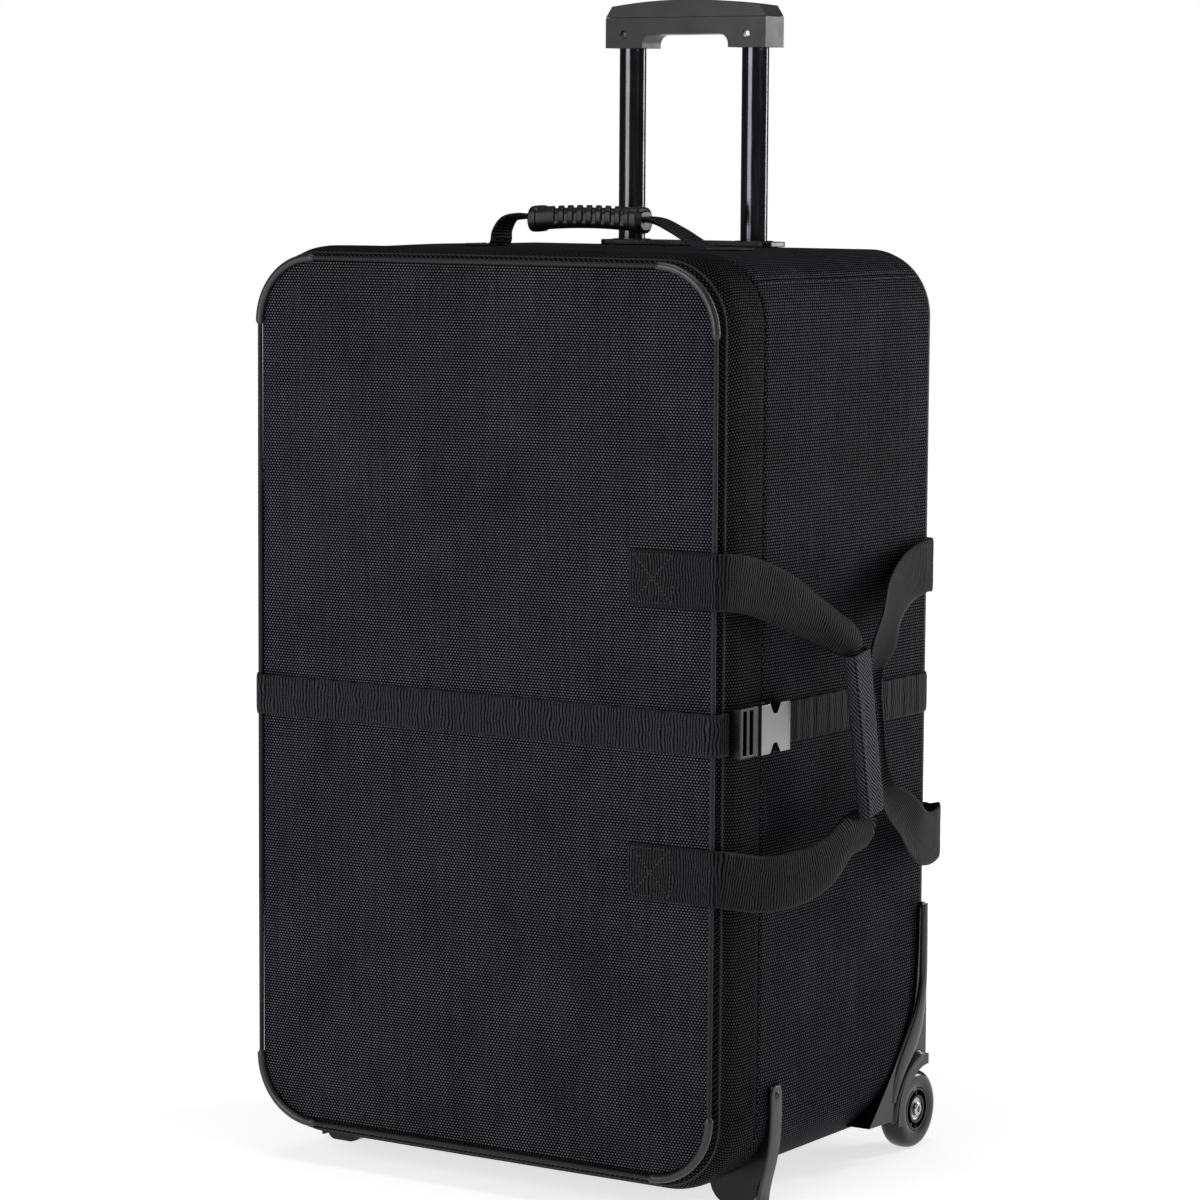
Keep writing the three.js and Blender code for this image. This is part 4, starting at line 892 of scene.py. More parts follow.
def stitch_rows(paths: list[Array], out: Array, spacing: float = 4.2, length: float = 3.0) -> Surface:
    """Rows of stitches, each a small flattened pod lying along its path and standing out from the cloth."""
    share = np.linspace(-1, 1, 5)
    radius = 0.55 * np.sqrt(np.maximum(1 - share**2, 0))
    middle = np.stack([share * length / 2, 0 * share, 0 * share], axis=1)
    side = each(Y_WAY, 5)
    up = each(Z_WAY, 5)
    section = circle(1.0, 6)[None] * radius[:, None, None]
    pod = grid(carried(middle, side, up, section))
    rows = []
    for path in paths:
        run = travelled(path)
        count = max(int(run[-1] / spacing), 1)
        at = (np.arange(count) + 0.5) * run[-1] / count
        places = np.stack([np.interp(at, run, path[:, k]) for k in range(3)], axis=1)
        ahead = np.stack([np.interp(at + 0.5, run, path[:, k]) for k in range(3)], axis=1)
        behind = np.stack([np.interp(at - 0.5, run, path[:, k]) for k in range(3)], axis=1)
        rows.append(repeated(pod, places, ahead - behind, np.tile(out, (count, 1))))
    return merged(*rows)


def box_stitch(u0: float, u1: float, v0: float, v1: float, place: Callable[[Array], Array]) -> list[Array]:
    """The rectangle and the cross of a box stitch, as paths of points.

    Args:
        u0, u1, v0, v1: the rectangle on the cloth.
        place: turns rows of (u, v) into points.
    """
    corners = np.array([(u0, v0), (u1, v0), (u1, v1), (u0, v1)], float)
    pairs = [(0, 1), (1, 2), (2, 3), (3, 0), (0, 2), (1, 3)]
    share = np.linspace(0, 1, 24)[:, None]
    return [place(corners[a] + share * (corners[b] - corners[a])) for a, b in pairs]


# ---------------------------------------------------------------- tray
@dataclass
class Tray:
    """The deep half: a rigid ring in a nylon cover, with a back panel, wheel wells and a padded lining."""

    cover: float = 1.0
    rim: float = 1.4  # how far the cover rolls in at the seam
    round_back: float = 9.0
    groove: float = 0.9
    wave: float = 0.7
    well: float = 50.6
    well_in: float = 218.5

    def build(self, bench: Bench) -> None:
        """Builds the cover with its back panel, the stitching along the lengthways seams, and the lining."""
        stops = stops_round(SEAM_SHARES)
        self._cover(bench, stops)
        self._seam_cords(bench)
        self._lining(bench)
        for node in ("tray_frame", "back_board", "trolley_base"):
            bench.dress(node, BOARD)

    def _sides(self, stops: Array) -> Surface:
        """Rings of the case's outline from the seam to the back.

        A ring's growth is a roll of rim inwards over the first few millimetres, a quarter circle in at the
        back edge, the seams' grooves and slow waves that swell outwards.
        """
        front = TRAY_FRONT_Y + np.array([0, 0.4, 1.0, 1.8, 3.0, 5.0])
        middle = np.linspace(TRAY_FRONT_Y + 8, BACK_Y - self.round_back - 3, 52)
        quarter = np.linspace(0, np.pi / 2, 9)
        rear = BACK_Y - self.round_back * (1 - np.sin(quarter))
        depths = np.concatenate([front, middle, rear])
        rolled = self.rim * (1 - ease(depths, TRAY_FRONT_Y - 1, TRAY_FRONT_Y + 3.5))
        straight = np.zeros(len(front) + len(middle))
        turned = np.concatenate([straight, self.round_back * (1 - np.cos(quarter))])
        run = around(stops)
        seam_at = np.interp(SEAM_SHARES, stops.sum(1), run)
        groove = sum(1.3 * bump(run, at, 6.0) - 2.2 * bump(run, at, 1.7) for at in seam_at)
        slow = np.sin(run / 61) * np.sin((run + 40) / 143)
        outline = CASE.at(stops)
        outward = unit(np.gradient(outline, axis=0))[:, ::-1] * (1, -1)
        outward[0] = outward[-1] = (0, -1)
        rows = []
        for y, inward, roll in zip(depths, turned, rolled):
            calm = ease(y, -112, -60) * (1 - ease(y, 120, 178))
            drift = 0.6 * slow * math.sin(y / 37 + 1.2) + 0.4 * np.sin(run / 29 + y / 51)
            swell = self.wave * calm * (0.9 + drift)
            grow = swell + groove * self.groove / 1.3 * (1 - ease(y, 172, 180)) - roll - inward
            rows.append(ring_at(outline + outward * grow[:, None], y))
        points = np.stack(rows)
        cloth = np.stack(np.broadcast_arrays(depths[:, None], run[None]), axis=2)
        return grid(points, cloth)

    def _cover(self, bench: Bench, stops: Array) -> None:
        """The sides and the back panel as one cover, open round the wheels."""
        sides = self._sides(stops)
        edge = sides.points[-len(stops) :][:, [0, 2]]
        back = panel(edge, -BACK_Y, 0.8, 26, 0.5)
        back.points[:, 1] *= -1
        whole = self._with_wells(merged(sides, back))
        bench.add(
            "tray_nylon",
            whole.flipped(),
            NYLON_SIDE,
            "case",
            "nylon",
            ("tray_cover",),
            closed=True,
            wall=self.cover,
            sharp=70,
        )

    def _with_wells(self, surface: Surface, clearance: float = 0.0) -> Surface:
        """The surface without its faces in the wheel wells or within the clearance round them."""
        middle = surface.points[surface.faces].mean(axis=1)
        from_axle = np.hypot(middle[:, 1] - WHEEL_Y, middle[:, 2] - WHEEL_Z)
        kept = (from_axle > self.well + clearance) | (np.abs(middle[:, 0]) < self.well_in)
        return Surface(surface.points, surface.faces[kept], surface.cloth)

    def _seam_cords(self, bench: Bench) -> None:
        """A line of stitching on each side of the lengthways seams."""
        depth = np.linspace(TRAY_FRONT_Y + 4, BACK_Y - 12, 60)
        for number, share in enumerate(SEAM_SHARES):
            paths = []
            for offset in (-0.036, 0.036):
                stop = np.array([[math.floor(share), share % 1 + offset]])
                point = CASE.grown(1.25).at(stop)[0]
                paths.append(np.stack([np.full(60, point[0]), depth, np.full(60, point[1])], axis=1))
            middle = CASE.at(np.array([[math.floor(share), share % 1]]))[0]
            inner = CASE.grown(-30).at(np.array([[math.floor(share), share % 1]]))[0]
            out = np.array([middle[0] - inner[0], 0, middle[1] - inner[1]])
            stitches = stitch_rows(paths, out, 4.6, 3.2)
            bench.add(f"seam_stitches_{number}", stitches, THREAD, "case", "nylon", sharp=180)

    def _lining(self, bench: Bench) -> None:
        """Padded panels that line the tray, each in the space of its foam."""
        for node, axis in (("liner_left", 0), ("liner_right", 0), ("liner_top", 2), ("liner_bottom", 2)):
            low, high = (np.array(c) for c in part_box(node))
            slab = padded_slab((low - bench.origin) / MM, (high - bench.origin) / MM, axis)
            pad = bench.add("padded_" + node, slab, LINING, "case", "liner", (node,), sharp=180)
        ring = CASE.grown(-7.2).at(stops_round((), 14))
        low_y, high_y = 150.7, 154.3
        front, rear = panel(ring, low_y, 0.0), panel(ring, high_y, 0.0).flipped()
        edge = grid(np.stack([ring_at(ring, low_y), ring_at(ring, high_y)])).flipped()
        whole = self._with_wells(merged(front, edge, rear), 1.0)
        bench.add("false_back_lining", whole, LINING, "case", "liner", ("liner_back",), sharp=60)


def padded_slab(low: Array, high: Array, axis: int) -> Surface:
    """A quilted pad that fills a box, thickest in the middle.

    Its half thickness is T/2 (1 - s to the 8th) to the 0.3 times the same in t, with shallow sewn channels
    across, over a grid of s and t from -1 to 1.

    Args:
        low, high: the box.
        axis: 0 or 2, the direction of the thickness.
    """
    middle, half = (low + high) / 2, (high - low) / 2
    others = [k for k in range(3) if k != axis]
    s = np.sin(np.linspace(-np.pi / 2, np.pi / 2, 70))
    t = np.sin(np.linspace(-np.pi / 2, np.pi / 2, 150))
    s, t = np.meshgrid(s, t, indexing="ij")
    swell = ((1 - s**8).clip(0) * (1 - t**8).clip(0)) ** 0.3
    long_axis = others[1] if half[others[1]] > half[others[0]] else others[0]
    along = t if long_axis == others[1] else s
    channel = 1 - 0.16 * sum(bump(along, at, 0.035) for at in (-0.66, -0.33, 0.0, 0.33, 0.66))
    thickness = half[axis] * swell * channel
    faces = []
    for side in (1, -1):
        points = np.zeros(s.shape + (3,))
        points[..., others[0]] = middle[others[0]] + s * half[others[0]]
        points[..., others[1]] = middle[others[1]] + t * half[others[1]]
        points[..., axis] = middle[axis] + side * thickness
        made = grid(points)
        faces.append(made if side > 0 else made.flipped())
    return merged(*faces)


# ---------------------------------------------------------------- lid
@dataclass
class Lid:
    """The shallow half: a nylon face in a piped edge, a gusset that swells past the piping, and padding."""

    cover: float = 1.0
    crown: float = 1.6
    piping: float = 2.5
    cord: float = 1.3

    def build(self, bench: Bench) -> None:
        """Builds the face, gusset, piping, corner covers, boards and padding."""
        stops = stops_round((), 6.5)
        self._cover(bench, stops)
        self._piping(bench)
        self._corners(bench)
        self._stiffeners(bench)
        self._padding(bench)

    def _profile(self) -> Array:
        """The gusset from face to rim: depth, share of the way to the case's outline, and growth."""
        return np.array(
            [
                (FACE_Y, -0.35, 0.0),
                (FACE_Y + 0.8, -0.1, 0.0),
                (FACE_Y + 2.6, 0.16, 0.2),
                (FACE_Y + 4.4, 0.30, 0.2),
                (FACE_Y + 6.6, 0.42, 0.9),
                (FACE_Y + 8.2, 0.50, 1.7),
                (FACE_Y + 9.8, 0.58, 1.0),
                (FACE_Y + 11.6, 0.66, 0.4),
                (FACE_Y + 16, 0.80, 0.7),
                (FACE_Y + 23, 0.93, 1.4),
                (FACE_Y + 32, 1.0, 1.7),
                (FACE_Y + 44, 1.0, 2.0),
                (FACE_Y + 56, 1.0, 1.8),
                (FACE_Y + 64, 1.0, 1.5),
                (FACE_Y + 68, 1.0, 0.8),
                (FACE_Y + 70.6, 1.0, -0.4),
                (LID_REAR_Y, 1.0, -3.2),
            ]
        )

    def _cover(self, bench: Bench, stops: Array) -> None:
        """The face panel, then rings that grow from the piping's outline to the case's."""
        fine = smooth_line(self._profile(), 80)
        piped, case = PIPED.at(stops), CASE.at(stops)
        outward = unit(case - spine(case))
        run = around(stops)
        rings = []
        for y, share, grow in fine:
            ring = piped + share * (case - piped)
            calm = ease(y, FACE_Y + 14, FACE_Y + 40) * (1 - ease(y, FACE_Y + 58, LID_REAR_Y))
            waves = 0.4 * calm * (1 + np.sin(run / 33 + y / 25) * np.sin(run / 97))
            rings.append(ring_at(ring + outward * (grow + waves)[:, None], y))
        sides = np.stack(rings)
        cloth = np.stack(np.broadcast_arrays(fine[:, :1], run[None]), axis=2)
        bench.add(
            "lid_gusset_nylon",
            grid(sides, cloth).flipped(),
            NYLON_GUSSET_SHADED,
            "lid",
            "nylon",
            ("lid_cover",),
            closed=True,
            wall=self.cover,
            sharp=70,
        )
        face = panel(rings[0][:, [0, 2]], FACE_Y, self.crown, 40, 0.8)
        bench.add(
            "lid_face_nylon", face, NYLON_FRONT, "lid", "nylon", closed=False, wall=self.cover, sharp=70
        )

    def _piping(self, bench: Bench) -> None:
        """The piping and the thinner cord behind it, each a round section carried round the outline."""
        stops = stops_round((), 8)
        y_axis = each(Y_WAY, len(stops))
        for name, outline, y, radius in (
            ("lid_piping_cord", PIPED, FACE_Y - 2.8, self.piping),
            ("lid_second_cord", Outline(252.3, 32.6, 857.9, 61.3), FACE_Y + 8.2, self.cord),
        ):
            ring = outline.at(stops)
            outward = unit(ring - spine(ring))
            path = ring_at(ring, y)
            side = np.stack([outward[:, 0], 0 * outward[:, 0], outward[:, 1]], axis=1)
            tube = grid(carried(path, side, y_axis, circle(radius, 14)))
            replaced = ("lid_piping",) if name == "lid_piping_cord" else ()
            bench.add(name, tube, CORD, "lid", "piping", replaced, sharp=180)

    def _corners(self, bench: Bench) -> None:
        """Moulded covers over the piping at the corners: a fuller section that fades in at each end."""
        reach = 65.0
        for number, name in ((1, "bottom_right"), (3, "top_right"), (5, "top_left"), (7, "bottom_left")):
            straight = reach - PIPED.radius
            share = np.linspace(0, 1, 44)
            corner = PIPED.at(np.stack([np.full(44, number), share], axis=1))
            before = corner[0] + unit(corner[0] - corner[1]) * straight
            after = corner[-1] + unit(corner[-1] - corner[-2]) * straight
            flat = np.concatenate([[before], corner, [after]])
            path = ring_at(flat, FACE_Y - 3.0)
            outward = unit(np.concatenate([corner[:1], corner, corner[-1:]]) - self._corner_centre(number))
            side = np.stack([outward[:, 0], 0 * outward[:, 0], outward[:, 1]], axis=1)
            y_axis = each(Y_WAY, len(path))
            run = travelled(path)
            fade = np.sqrt(np.clip(np.minimum(run, run[-1] - run) / 3.0, 0.02, 1))
            section = circle(3.9, 18)[None] * fade[:, None, None]
            node = "piping_corner_" + name
            cover = capped(carried(path, side, y_axis, section))
            bench.add("trim_" + name, cover, TRIM, "lid", "trim", (node,))

    @staticmethod
    def _corner_centre(number: int) -> Array:
        """Centre of one of the piping's corner arcs."""
        w = PIPED.half - PIPED.radius
        x = w if number in (1, 3) else -w
        z = PIPED.low + PIPED.radius if number in (1, 7) else PIPED.high - PIPED.radius
        return np.array([x, z])

    def _stiffeners(self, bench: Bench) -> None:
        """The gusset's rigid ring and the lid's board, inside the cover."""
        stops = stops_round((), 12)
        piped, case = PIPED.at(stops), CASE.at(stops)
        loop = [
            (FACE_Y + 1.4, 0.0, -1.6),
            (FACE_Y + 14, 0.66, -1.6),
            (FACE_Y + 32, 1.0, -1.6),
            (LID_REAR_Y - 3.0, 1.0, -2.4),
            (LID_REAR_Y - 3.0, 1.0, -4.4),
            (FACE_Y + 32, 1.0, -4.4),
            (FACE_Y + 14, 0.66, -4.4),
            (FACE_Y + 1.4, 0.0, -4.4),
            (FACE_Y + 1.4, 0.0, -1.6),
        ]
        outward = unit(case - spine(case))
        rings = [ring_at(piped + share * (case - piped) + outward * grow, y) for y, share, grow in loop]
        stiffener = grid(np.stack(rings))
        bench.add("gusset_stiffener", stiffener, BOARD, "lid", "board", ("lid_gusset_frame",), sharp=30)
        ring = PIPED.grown(-4.8).at(stops)
        front, rear = panel(ring, FACE_Y + 1.5, 0.0, 6), panel(ring, FACE_Y + 5.5, 0.0, 6)
        edge = grid(np.stack([ring_at(ring, FACE_Y + 1.5), ring_at(ring, FACE_Y + 5.5)]))
        board = merged(front, edge.flipped(), rear.flipped())
        bench.add("lid_stiffener", board, BOARD, "lid", "board", ("lid_board",), sharp=30)

    def _padding(self, bench: Bench) -> None:
        """The lid's foam pad: flat against the board, crowned inwards, sewn in a diamond quilt."""
        stops = stops_round((), 10)
        ring = CASE.grown(-19).at(stops)
        low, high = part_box("lid_foam")
        base_y, top_y = ((np.array([low.y, high.y]) - bench.origin[1]) / MM).tolist()
        steps = 90
        share = np.linspace(0, 1, steps) ** 1.3
        flat = ring[None] + share[:, None, None] * (spine(ring) - ring)[None]
        x, z = flat[..., 0], flat[..., 1]
        swell = (1 - (1 - share[:, None]) ** 5) ** 0.45
        diamond = np.abs(np.sin(np.pi * (x + z) / 110)) * np.abs(np.sin(np.pi * (x - z) / 110))
        inside = ease(share, 0.06, 0.16)[:, None]
        quilt = 1 - 0.28 * inside * (1 - np.minimum(diamond * 5, 1)) ** 2
        depth = base_y + 1 + (top_y - base_y - 1) * swell * quilt
        crowned = grid(np.stack([x, depth, z], axis=2), flat)
        under = panel(ring, base_y + 0.4, 0.0, 8)
        edge = grid(np.stack([ring_at(ring, base_y + 0.4), ring_at(ring, depth[0])]))
        cushion = merged(crowned.flipped(), edge.flipped(), under)
        pad = bench.add("lid_pad", cushion, LINING, "lid", "foam", ("lid_foam",), sharp=180)


# ---------------------------------------------------------------- hinge, belt and buckle
@dataclass
class Belt:
    """A 38 mm belt round the case, gathered a little along its sewn runs, and its side-release buckle."""

    width: float = 38.0
    thickness: float = 1.8
    pucker: float = 0.55
    front_y: float = -195.9
    side_x: float = 256.6
    back_y: float = 192.4

    def build(self, bench: Bench) -> None:
        """Builds the two runs of belt, the fabric hinge and the buckle."""
        self._lid_run(bench)
        self._tray_run(bench)
        self._hinge(bench)
        self._buckle(bench)

    def _run(self, stations: list[tuple[float, float]], count: int, width: float) -> Surface:
        """A run of belt through plan points, its face waving by the pucker."""
        rows = smooth_line([(x, y, BELT_Z) for x, y in stations], count)
        tangent = unit(np.gradient(rows, axis=0))
        out = np.cross(tangent, np.array([0.0, 0.0, 1.0]))
        run = travelled(rows)
        wave = np.sin(run / 3.3) * (0.6 + 0.4 * np.sin(run / 23)) + 0.5 * np.sin(run / 1.9)
        rows = rows + out * (self.pucker * (wave[:, None] - 0.2))
        up = each(Z_WAY, count)
        edge = width + 0.7 * np.sin(run / 4.1 + 1)
        return flat_strap(rows, up, edge, self.thickness)

    def _lid_run(self, bench: Bench) -> None:
        """From the seam on the left, over the lid's face, to the plug's ladder."""
        x, y = self.side_x, self.front_y
        stations = [
            (-x, LID_REAR_Y - 0.4),
            (-x - 0.4, -150),
            (-x, -176),
            (-x + 2.5, -190),
            (-x + 9, y - 0.2),
            (-x + 20, y + 0.8),
            (-200, y + 2.4),
            (0, y + 2.2),
            (200, y + 2.4),
            (x - 20, y + 0.8),
            (x - 9, y - 0.4),
            (x - 2.2, -191),
            (x - 0.6, -183),
            (x - 0.5, -176),
        ]
        run = self._run(stations, 700, self.width)
        bench.add("lid_belt", run, BELT_WEB, "lid", "webbing", ("belt_lid",), sharp=180)

    def _tray_run(self, bench: Bench) -> None:
        """From the seam on the left, round the back, to the socket."""
        x, y = self.side_x, self.back_y
        stations = [
            (x, -86),
            (x + 0.4, -40),
            (x + 0.2, 60),
            (x, 150),
            (x - 0.6, 181),
            (x - 3.2, 189.6),
            (x - 11, y + 0.2),
            (x - 30, y),
            (0, y + 0.4),
            (-x + 30, y),
            (-x + 11, y + 0.2),
            (-x + 3.2, 189.6),
            (-x + 0.6, 181),
            (-x, 150),
            (-x - 0.2, 0),
            (-x, TRAY_FRONT_Y + 0.4),
        ]
        run = self._run(stations, 900, self.width)
        bench.add("tray_belt", run, BELT_WEB, "case", "webbing", ("belt_tray",), sharp=180)

    def _hinge(self, bench: Bench) -> None:
        """The strip of nylon that the lid turns on, sewn to both edges on the left side."""
        low, high = ((np.array(c) - bench.origin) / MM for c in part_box("lid_hinge_strip"))
        sewn, free, crest = -255.3, -255.9, -256.2
        front_half = [(sewn, -142.0), (free, -133.0), (crest, -120.0)]
        fold = front_half + [(crest, -110.0), (free, -97.0), (sewn, -88.7)]
        count = 60
        middle_z = (low[2] + high[2]) / 2
        path = smooth_line([(x, y, middle_z) for x, y in fold], count)
        up = each(Z_WAY, count)
        strip = flat_strap(path, up, high[2] - low[2], 1.0)
        piece = bench.add("hinge_cloth", strip, NYLON_SIDE, "", "nylon", ("lid_hinge_strip",), sharp=180)
        bench.row(-255, -106, 444)
        bench.row(-255, -124, 444)
        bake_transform(piece)

    def _buckle(self, bench: Bench) -> None:
        """The buckle's two mouldings, their edges rounded."""
        bench.bevelled("buckle_socket", ACETAL, "gloss", 1.6, 4)
        bench.bevelled("buckle_plug", HUB, "gloss", 1.0, 3)


# ---------------------------------------------------------------- grab loops
@dataclass
class GrabLoops:
    """Two webbing loops on the right side, sewn to the front and the back and gathered in a sleeve."""

    width: float = 50.8
    thickness: float = 1.8
    sleeve_x: float = 298.0
    sleeve_y: float = -8.0
    sleeve_z: float = 430.0
    lean: float = 0.2
    sleeve_length: float = 150.0
    inner_x: float = 162.0
    flap: float = 48.0
    heights: dict[str, float] = field(
        default_factory=lambda: {
            "front_upper": 579.0,
            "front_lower": 317.0,
            "rear_upper": 565.0,
            "rear_lower": 311.0,
        }
    )

    def build(self, bench: Bench) -> None:
        """Builds the patches, the two loops and the sleeve."""
        for name, height in self.heights.items():
            self._patch(bench, name, height)
        self._front_loop(bench)
        self._rear_loop(bench)
        self._sleeve(bench)

    def _patch(self, bench: Bench, name: str, height: float) -> None:
        """Webbing sewn flat, its inner end doubled under a box stitch, rising to the case's edge."""
        front = name.startswith("front")
        face = -1.0 if front else 1.0
        base = FACE_Y - 1.0 if front else BACK_Y + 1.0
        lift = 5.4 if front else 3.2
        x = np.array([self.inner_x, 180, 196, 208, 214, 226, 236, 244, 250, 254.0])
        rise = np.array([2.2, 2.7, 2.6, 2.3, 1.3, 1.5, 3.0, lift - 0.6, lift + 0.6, lift + 0.2])
        stations = np.stack([x, base + face * rise, np.full(len(x), height)], axis=1)
        path = smooth_line(stations, 120)
        ripple = 0.35 * np.sin((path[:, 0] - self.inner_x) / 2.6) * bump(path[:, 0], 185, 26)
        path[:, 1] += face * ripple
        up = np.tile([0.0, 0.0, face], (120, 1))
        strap = flat_strap(path, up, self.width, self.thickness)
        doubled = path[path[:, 0] < self.inner_x + self.flap]
        under = doubled - np.array([0, face * 1.7, 0])
        flap = flat_strap(under, up[: len(under)], self.width - 0.8, self.thickness)
        body = "lid" if front else "case"
        node = f"{name.split('_')[0]}_patch_{name.split('_')[1]}"
        bench.add(f"{name}_patch_web", merged(strap, flap), GRAB_WEB, body, "webbing", (node,), sharp=180)

        def place(rows: Array) -> Array:
            """Points on the patch's face."""
            depth = np.interp(rows[:, 0], path[:, 0], path[:, 1])
            return np.stack([rows[:, 0], depth + face * self.thickness / 2, height + rows[:, 1]], axis=1)

        half = self.width / 2 - 4
        paths = box_stitch(self.inner_x + 4, self.inner_x + self.flap - 3, -half, half, place)
        stitches = stitch_rows(paths, np.array([0.0, face, 0.0]))
        bench.add(f"{name}_box_stitch", stitches, THREAD, body, "webbing", sharp=180)

    def _leaning(self, dz: float, offset: float = 0.0) -> tuple[float, float, float]:
        """A point of the sleeve's middle line, dz above its middle and offset behind it."""
        return (self.sleeve_x, self.sleeve_y - self.lean * dz + offset, self.sleeve_z + dz)

    def _loop(self, rows: list[tuple], count: int) -> Surface:
        """Webbing through stations of (x, y, z, across x, y, z, width, curl, press)."""
        line = smooth_line(np.array(rows, float), count)
        run = travelled(line[:, :3])
        line[:, 0] += 0.35 * np.sin(run / 13)
        return flat_strap(line[:, :3], line[:, 3:6], line[:, 6], self.thickness, line[:, 7], line[:, 8])

    def _front_loop(self, bench: Bench) -> None:
        """From the front patches, back and inwards, to the sleeve's two ends."""
        w = self.width
        up, low = self.heights["front_upper"], self.heights["front_lower"]
        head, foot = self._leaning(84), self._leaning(-84)
        neck, heel = self._leaning(66), self._leaning(-66)
        rows = [
            (252.5, -194.8, up, 0, 0, 1, w, 0.02, 1),
            (257.6, -191.0, up + 0.2, 0, 0, 1, w, 0.02, 1),
            (262.5, -178.0, up - 1, 0, 0.03, 1, w, 0.06, 1),
            (268.0, -150.0, up - 7, 0, 0.18, 0.98, w, 0.12, 1),
            (276.0, -112.0, up - 21, 0, 0.34, 0.94, w - 1, 0.3, 1),
            (285.0, -75.0, up - 38, 0, 0.42, 0.9, w - 3, 1.0, 1),
            (293.0, -47.0, up - 52, 0, 0.55, 0.84, w - 4, 2.0, 0.8),
            (*head, 0, 0.9, 0.42, w - 3, 2.6, 0.6),
            (*neck, 0, 0.98, 0.2, w - 5, 3.4, 0.26),
            (*self._leaning(0), 0, 0.98, 0.2, w - 5, 3.5, 0.26),
            (*heel, 0, 0.98, 0.2, w - 5, 3.4, 0.26),
            (*foot, 0, 0.93, -0.36, w - 3, 2.4, 0.6),
            (299.0, -26.0, low + 19, 0, 0.55, -0.83, w - 4, 1.7, 0.8),
            (295.0, -62.0, low + 1, 0, 0.36, -0.93, w - 1, 0.6, 1),
            (286.5, -104.0, low - 9, 0, 0.16, -0.99, w, 0.25, 1),
            (275.0, -146.0, low - 9, 0, 0.03, -1, w, 0.1, 1),
            (264.5, -177.0, low - 3, 0, 0, -1, w, 0.05, 1),
            (257.6, -191.0, low, 0, 0, -1, w, 0.02, 1),
            (252.5, -194.8, low, 0, 0, -1, w, 0.02, 1),
        ]
        loop = self._loop(rows, 420)
        piece = bench.add("front_loop_web", loop, GRAB_WEB, "", "webbing", ("front_grab_strap",), sharp=180)
        bench.row(254, -196, BELT_Z)
        bench.row(264, -176, BELT_Z)
        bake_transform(piece)

    def _rear_loop(self, bench: Bench) -> None:
        """From the rear patches, forward and inwards, to the sleeve, where it lies folded behind it."""
        w = self.width
        up, low = self.heights["rear_upper"], self.heights["rear_lower"]
        behind = 24.5
        rows = [
            (252.5, 194.2, up, 0, 0, 1, w, 0.02, 1),
            (257.8, 190.5, up, 0, 0, 1, w, 0.02, 1),
            (261.0, 178.0, up + 1, 0, 0, 1, w, 0.06, 1),
            (264.0, 150.0, up - 2, 0, -0.1, 1, w, 0.12, 1),
            (270.0, 112.0, up - 10, 0, -0.24, 0.97, w, 0.25, 1),
            (279.0, 74.0, up - 24, 0, -0.36, 0.93, w - 1, 0.6, 1),
            (289.0, 42.0, up - 44, 0, -0.5, 0.85, w - 3, 1.5, 0.8),
            (*self._leaning(58, behind), 0, -0.75, 0.6, w - 12, 3.0, 0.5),
            (*self._leaning(34, behind), 0, -0.98, -0.2, w - 24, 4.2, 0.5),
            (*self._leaning(0, behind), 0, -0.98, -0.2, w - 26, 4.4, 0.5),
            (*self._leaning(-34, behind), 0, -0.98, -0.2, w - 24, 4.2, 0.5),
            (*self._leaning(-58, behind), 0, -0.8, -0.55, w - 12, 3.0, 0.5),
            (299.0, 66.0, low + 32, 0, -0.45, -0.88, w - 3, 1.4, 0.8),
            (297.0, 98.0, low + 10, 0, -0.25, -0.96, w, 0.5, 1),
            (291.0, 134.0, low + 3, 0, -0.08, -1, w, 0.2, 1),
            (283.0, 164.0, low + 4, 0, 0, -1, w, 0.08, 1),
            (272.0, 184.0, low + 3, 0, 0, -1, w, 0.05, 1),
            (260.5, 192.5, low, 0, 0, -1, w, 0.03, 1),
            (252.5, 194.2, low, 0, 0, -1, w, 0.02, 1),
        ]
        loop = self._loop(rows, 400)
        piece = bench.add("rear_loop_web", loop, GRAB_WEB, "", "webbing", ("rear_grab_strap",), sharp=180)
        bench.row(254, 196, BELT_Z)
        bench.row(264, 176, BELT_Z)
        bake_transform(piece)

    def _sleeve(self, bench: Bench) -> None:
        """The sleeve: twill wrapped round the loops, its long seam lapped and its ends bound."""
        count = 90
        along = np.linspace(-1, 1, count)
        middle = np.array([self._leaning(s * self.sleeve_length / 2) for s in along])
        tangent = unit(np.gradient(middle, axis=0))
        side = each(X_WAY, count)
        up = np.cross(tangent, side)
        outer = rounded_box_section(6.4, 16.6, 5.0)
        inner = rounded_box_section(4.4, 14.4, 3.4)[::-1]
        hem = 0.03 * bump(np.abs(along), 1.0, 0.06)
        flare = (1 + hem + 0.012 * np.sin(along * 23))[:, None, None]
        wall = grid(carried(middle, side, up, outer[None] * flare))
        bore = grid(carried(middle, side, up, inner[None] * np.ones_like(flare)))
        rims = []
        for row, turn in ((0, 1), (-1, -1)):
            ring_out = carried(middle[row][None], side[:1], up[:1], outer * flare[row, 0, 0])[0]
            ring_in = carried(middle[row][None], side[:1], up[:1], inner[::-1])[0]
            rims.append(grid(np.stack([ring_out, ring_in][::turn])))
        body = merged(wall, bore, *rims)
        bench.add("sleeve_wrap", body, SLEEVE_WEB, "front_loop", "webbing", ("grab_sleeve",), sharp=50)
        lap = middle + side * 6.7 + up * -11.5
        strip = flat_strap(lap[3:-3], np.tile(up[0], (count - 6, 1)), 7.0, 0.9)
        bench.add("sleeve_lap", strip, SLEEVE_WEB, "front_loop", "webbing", sharp=180)


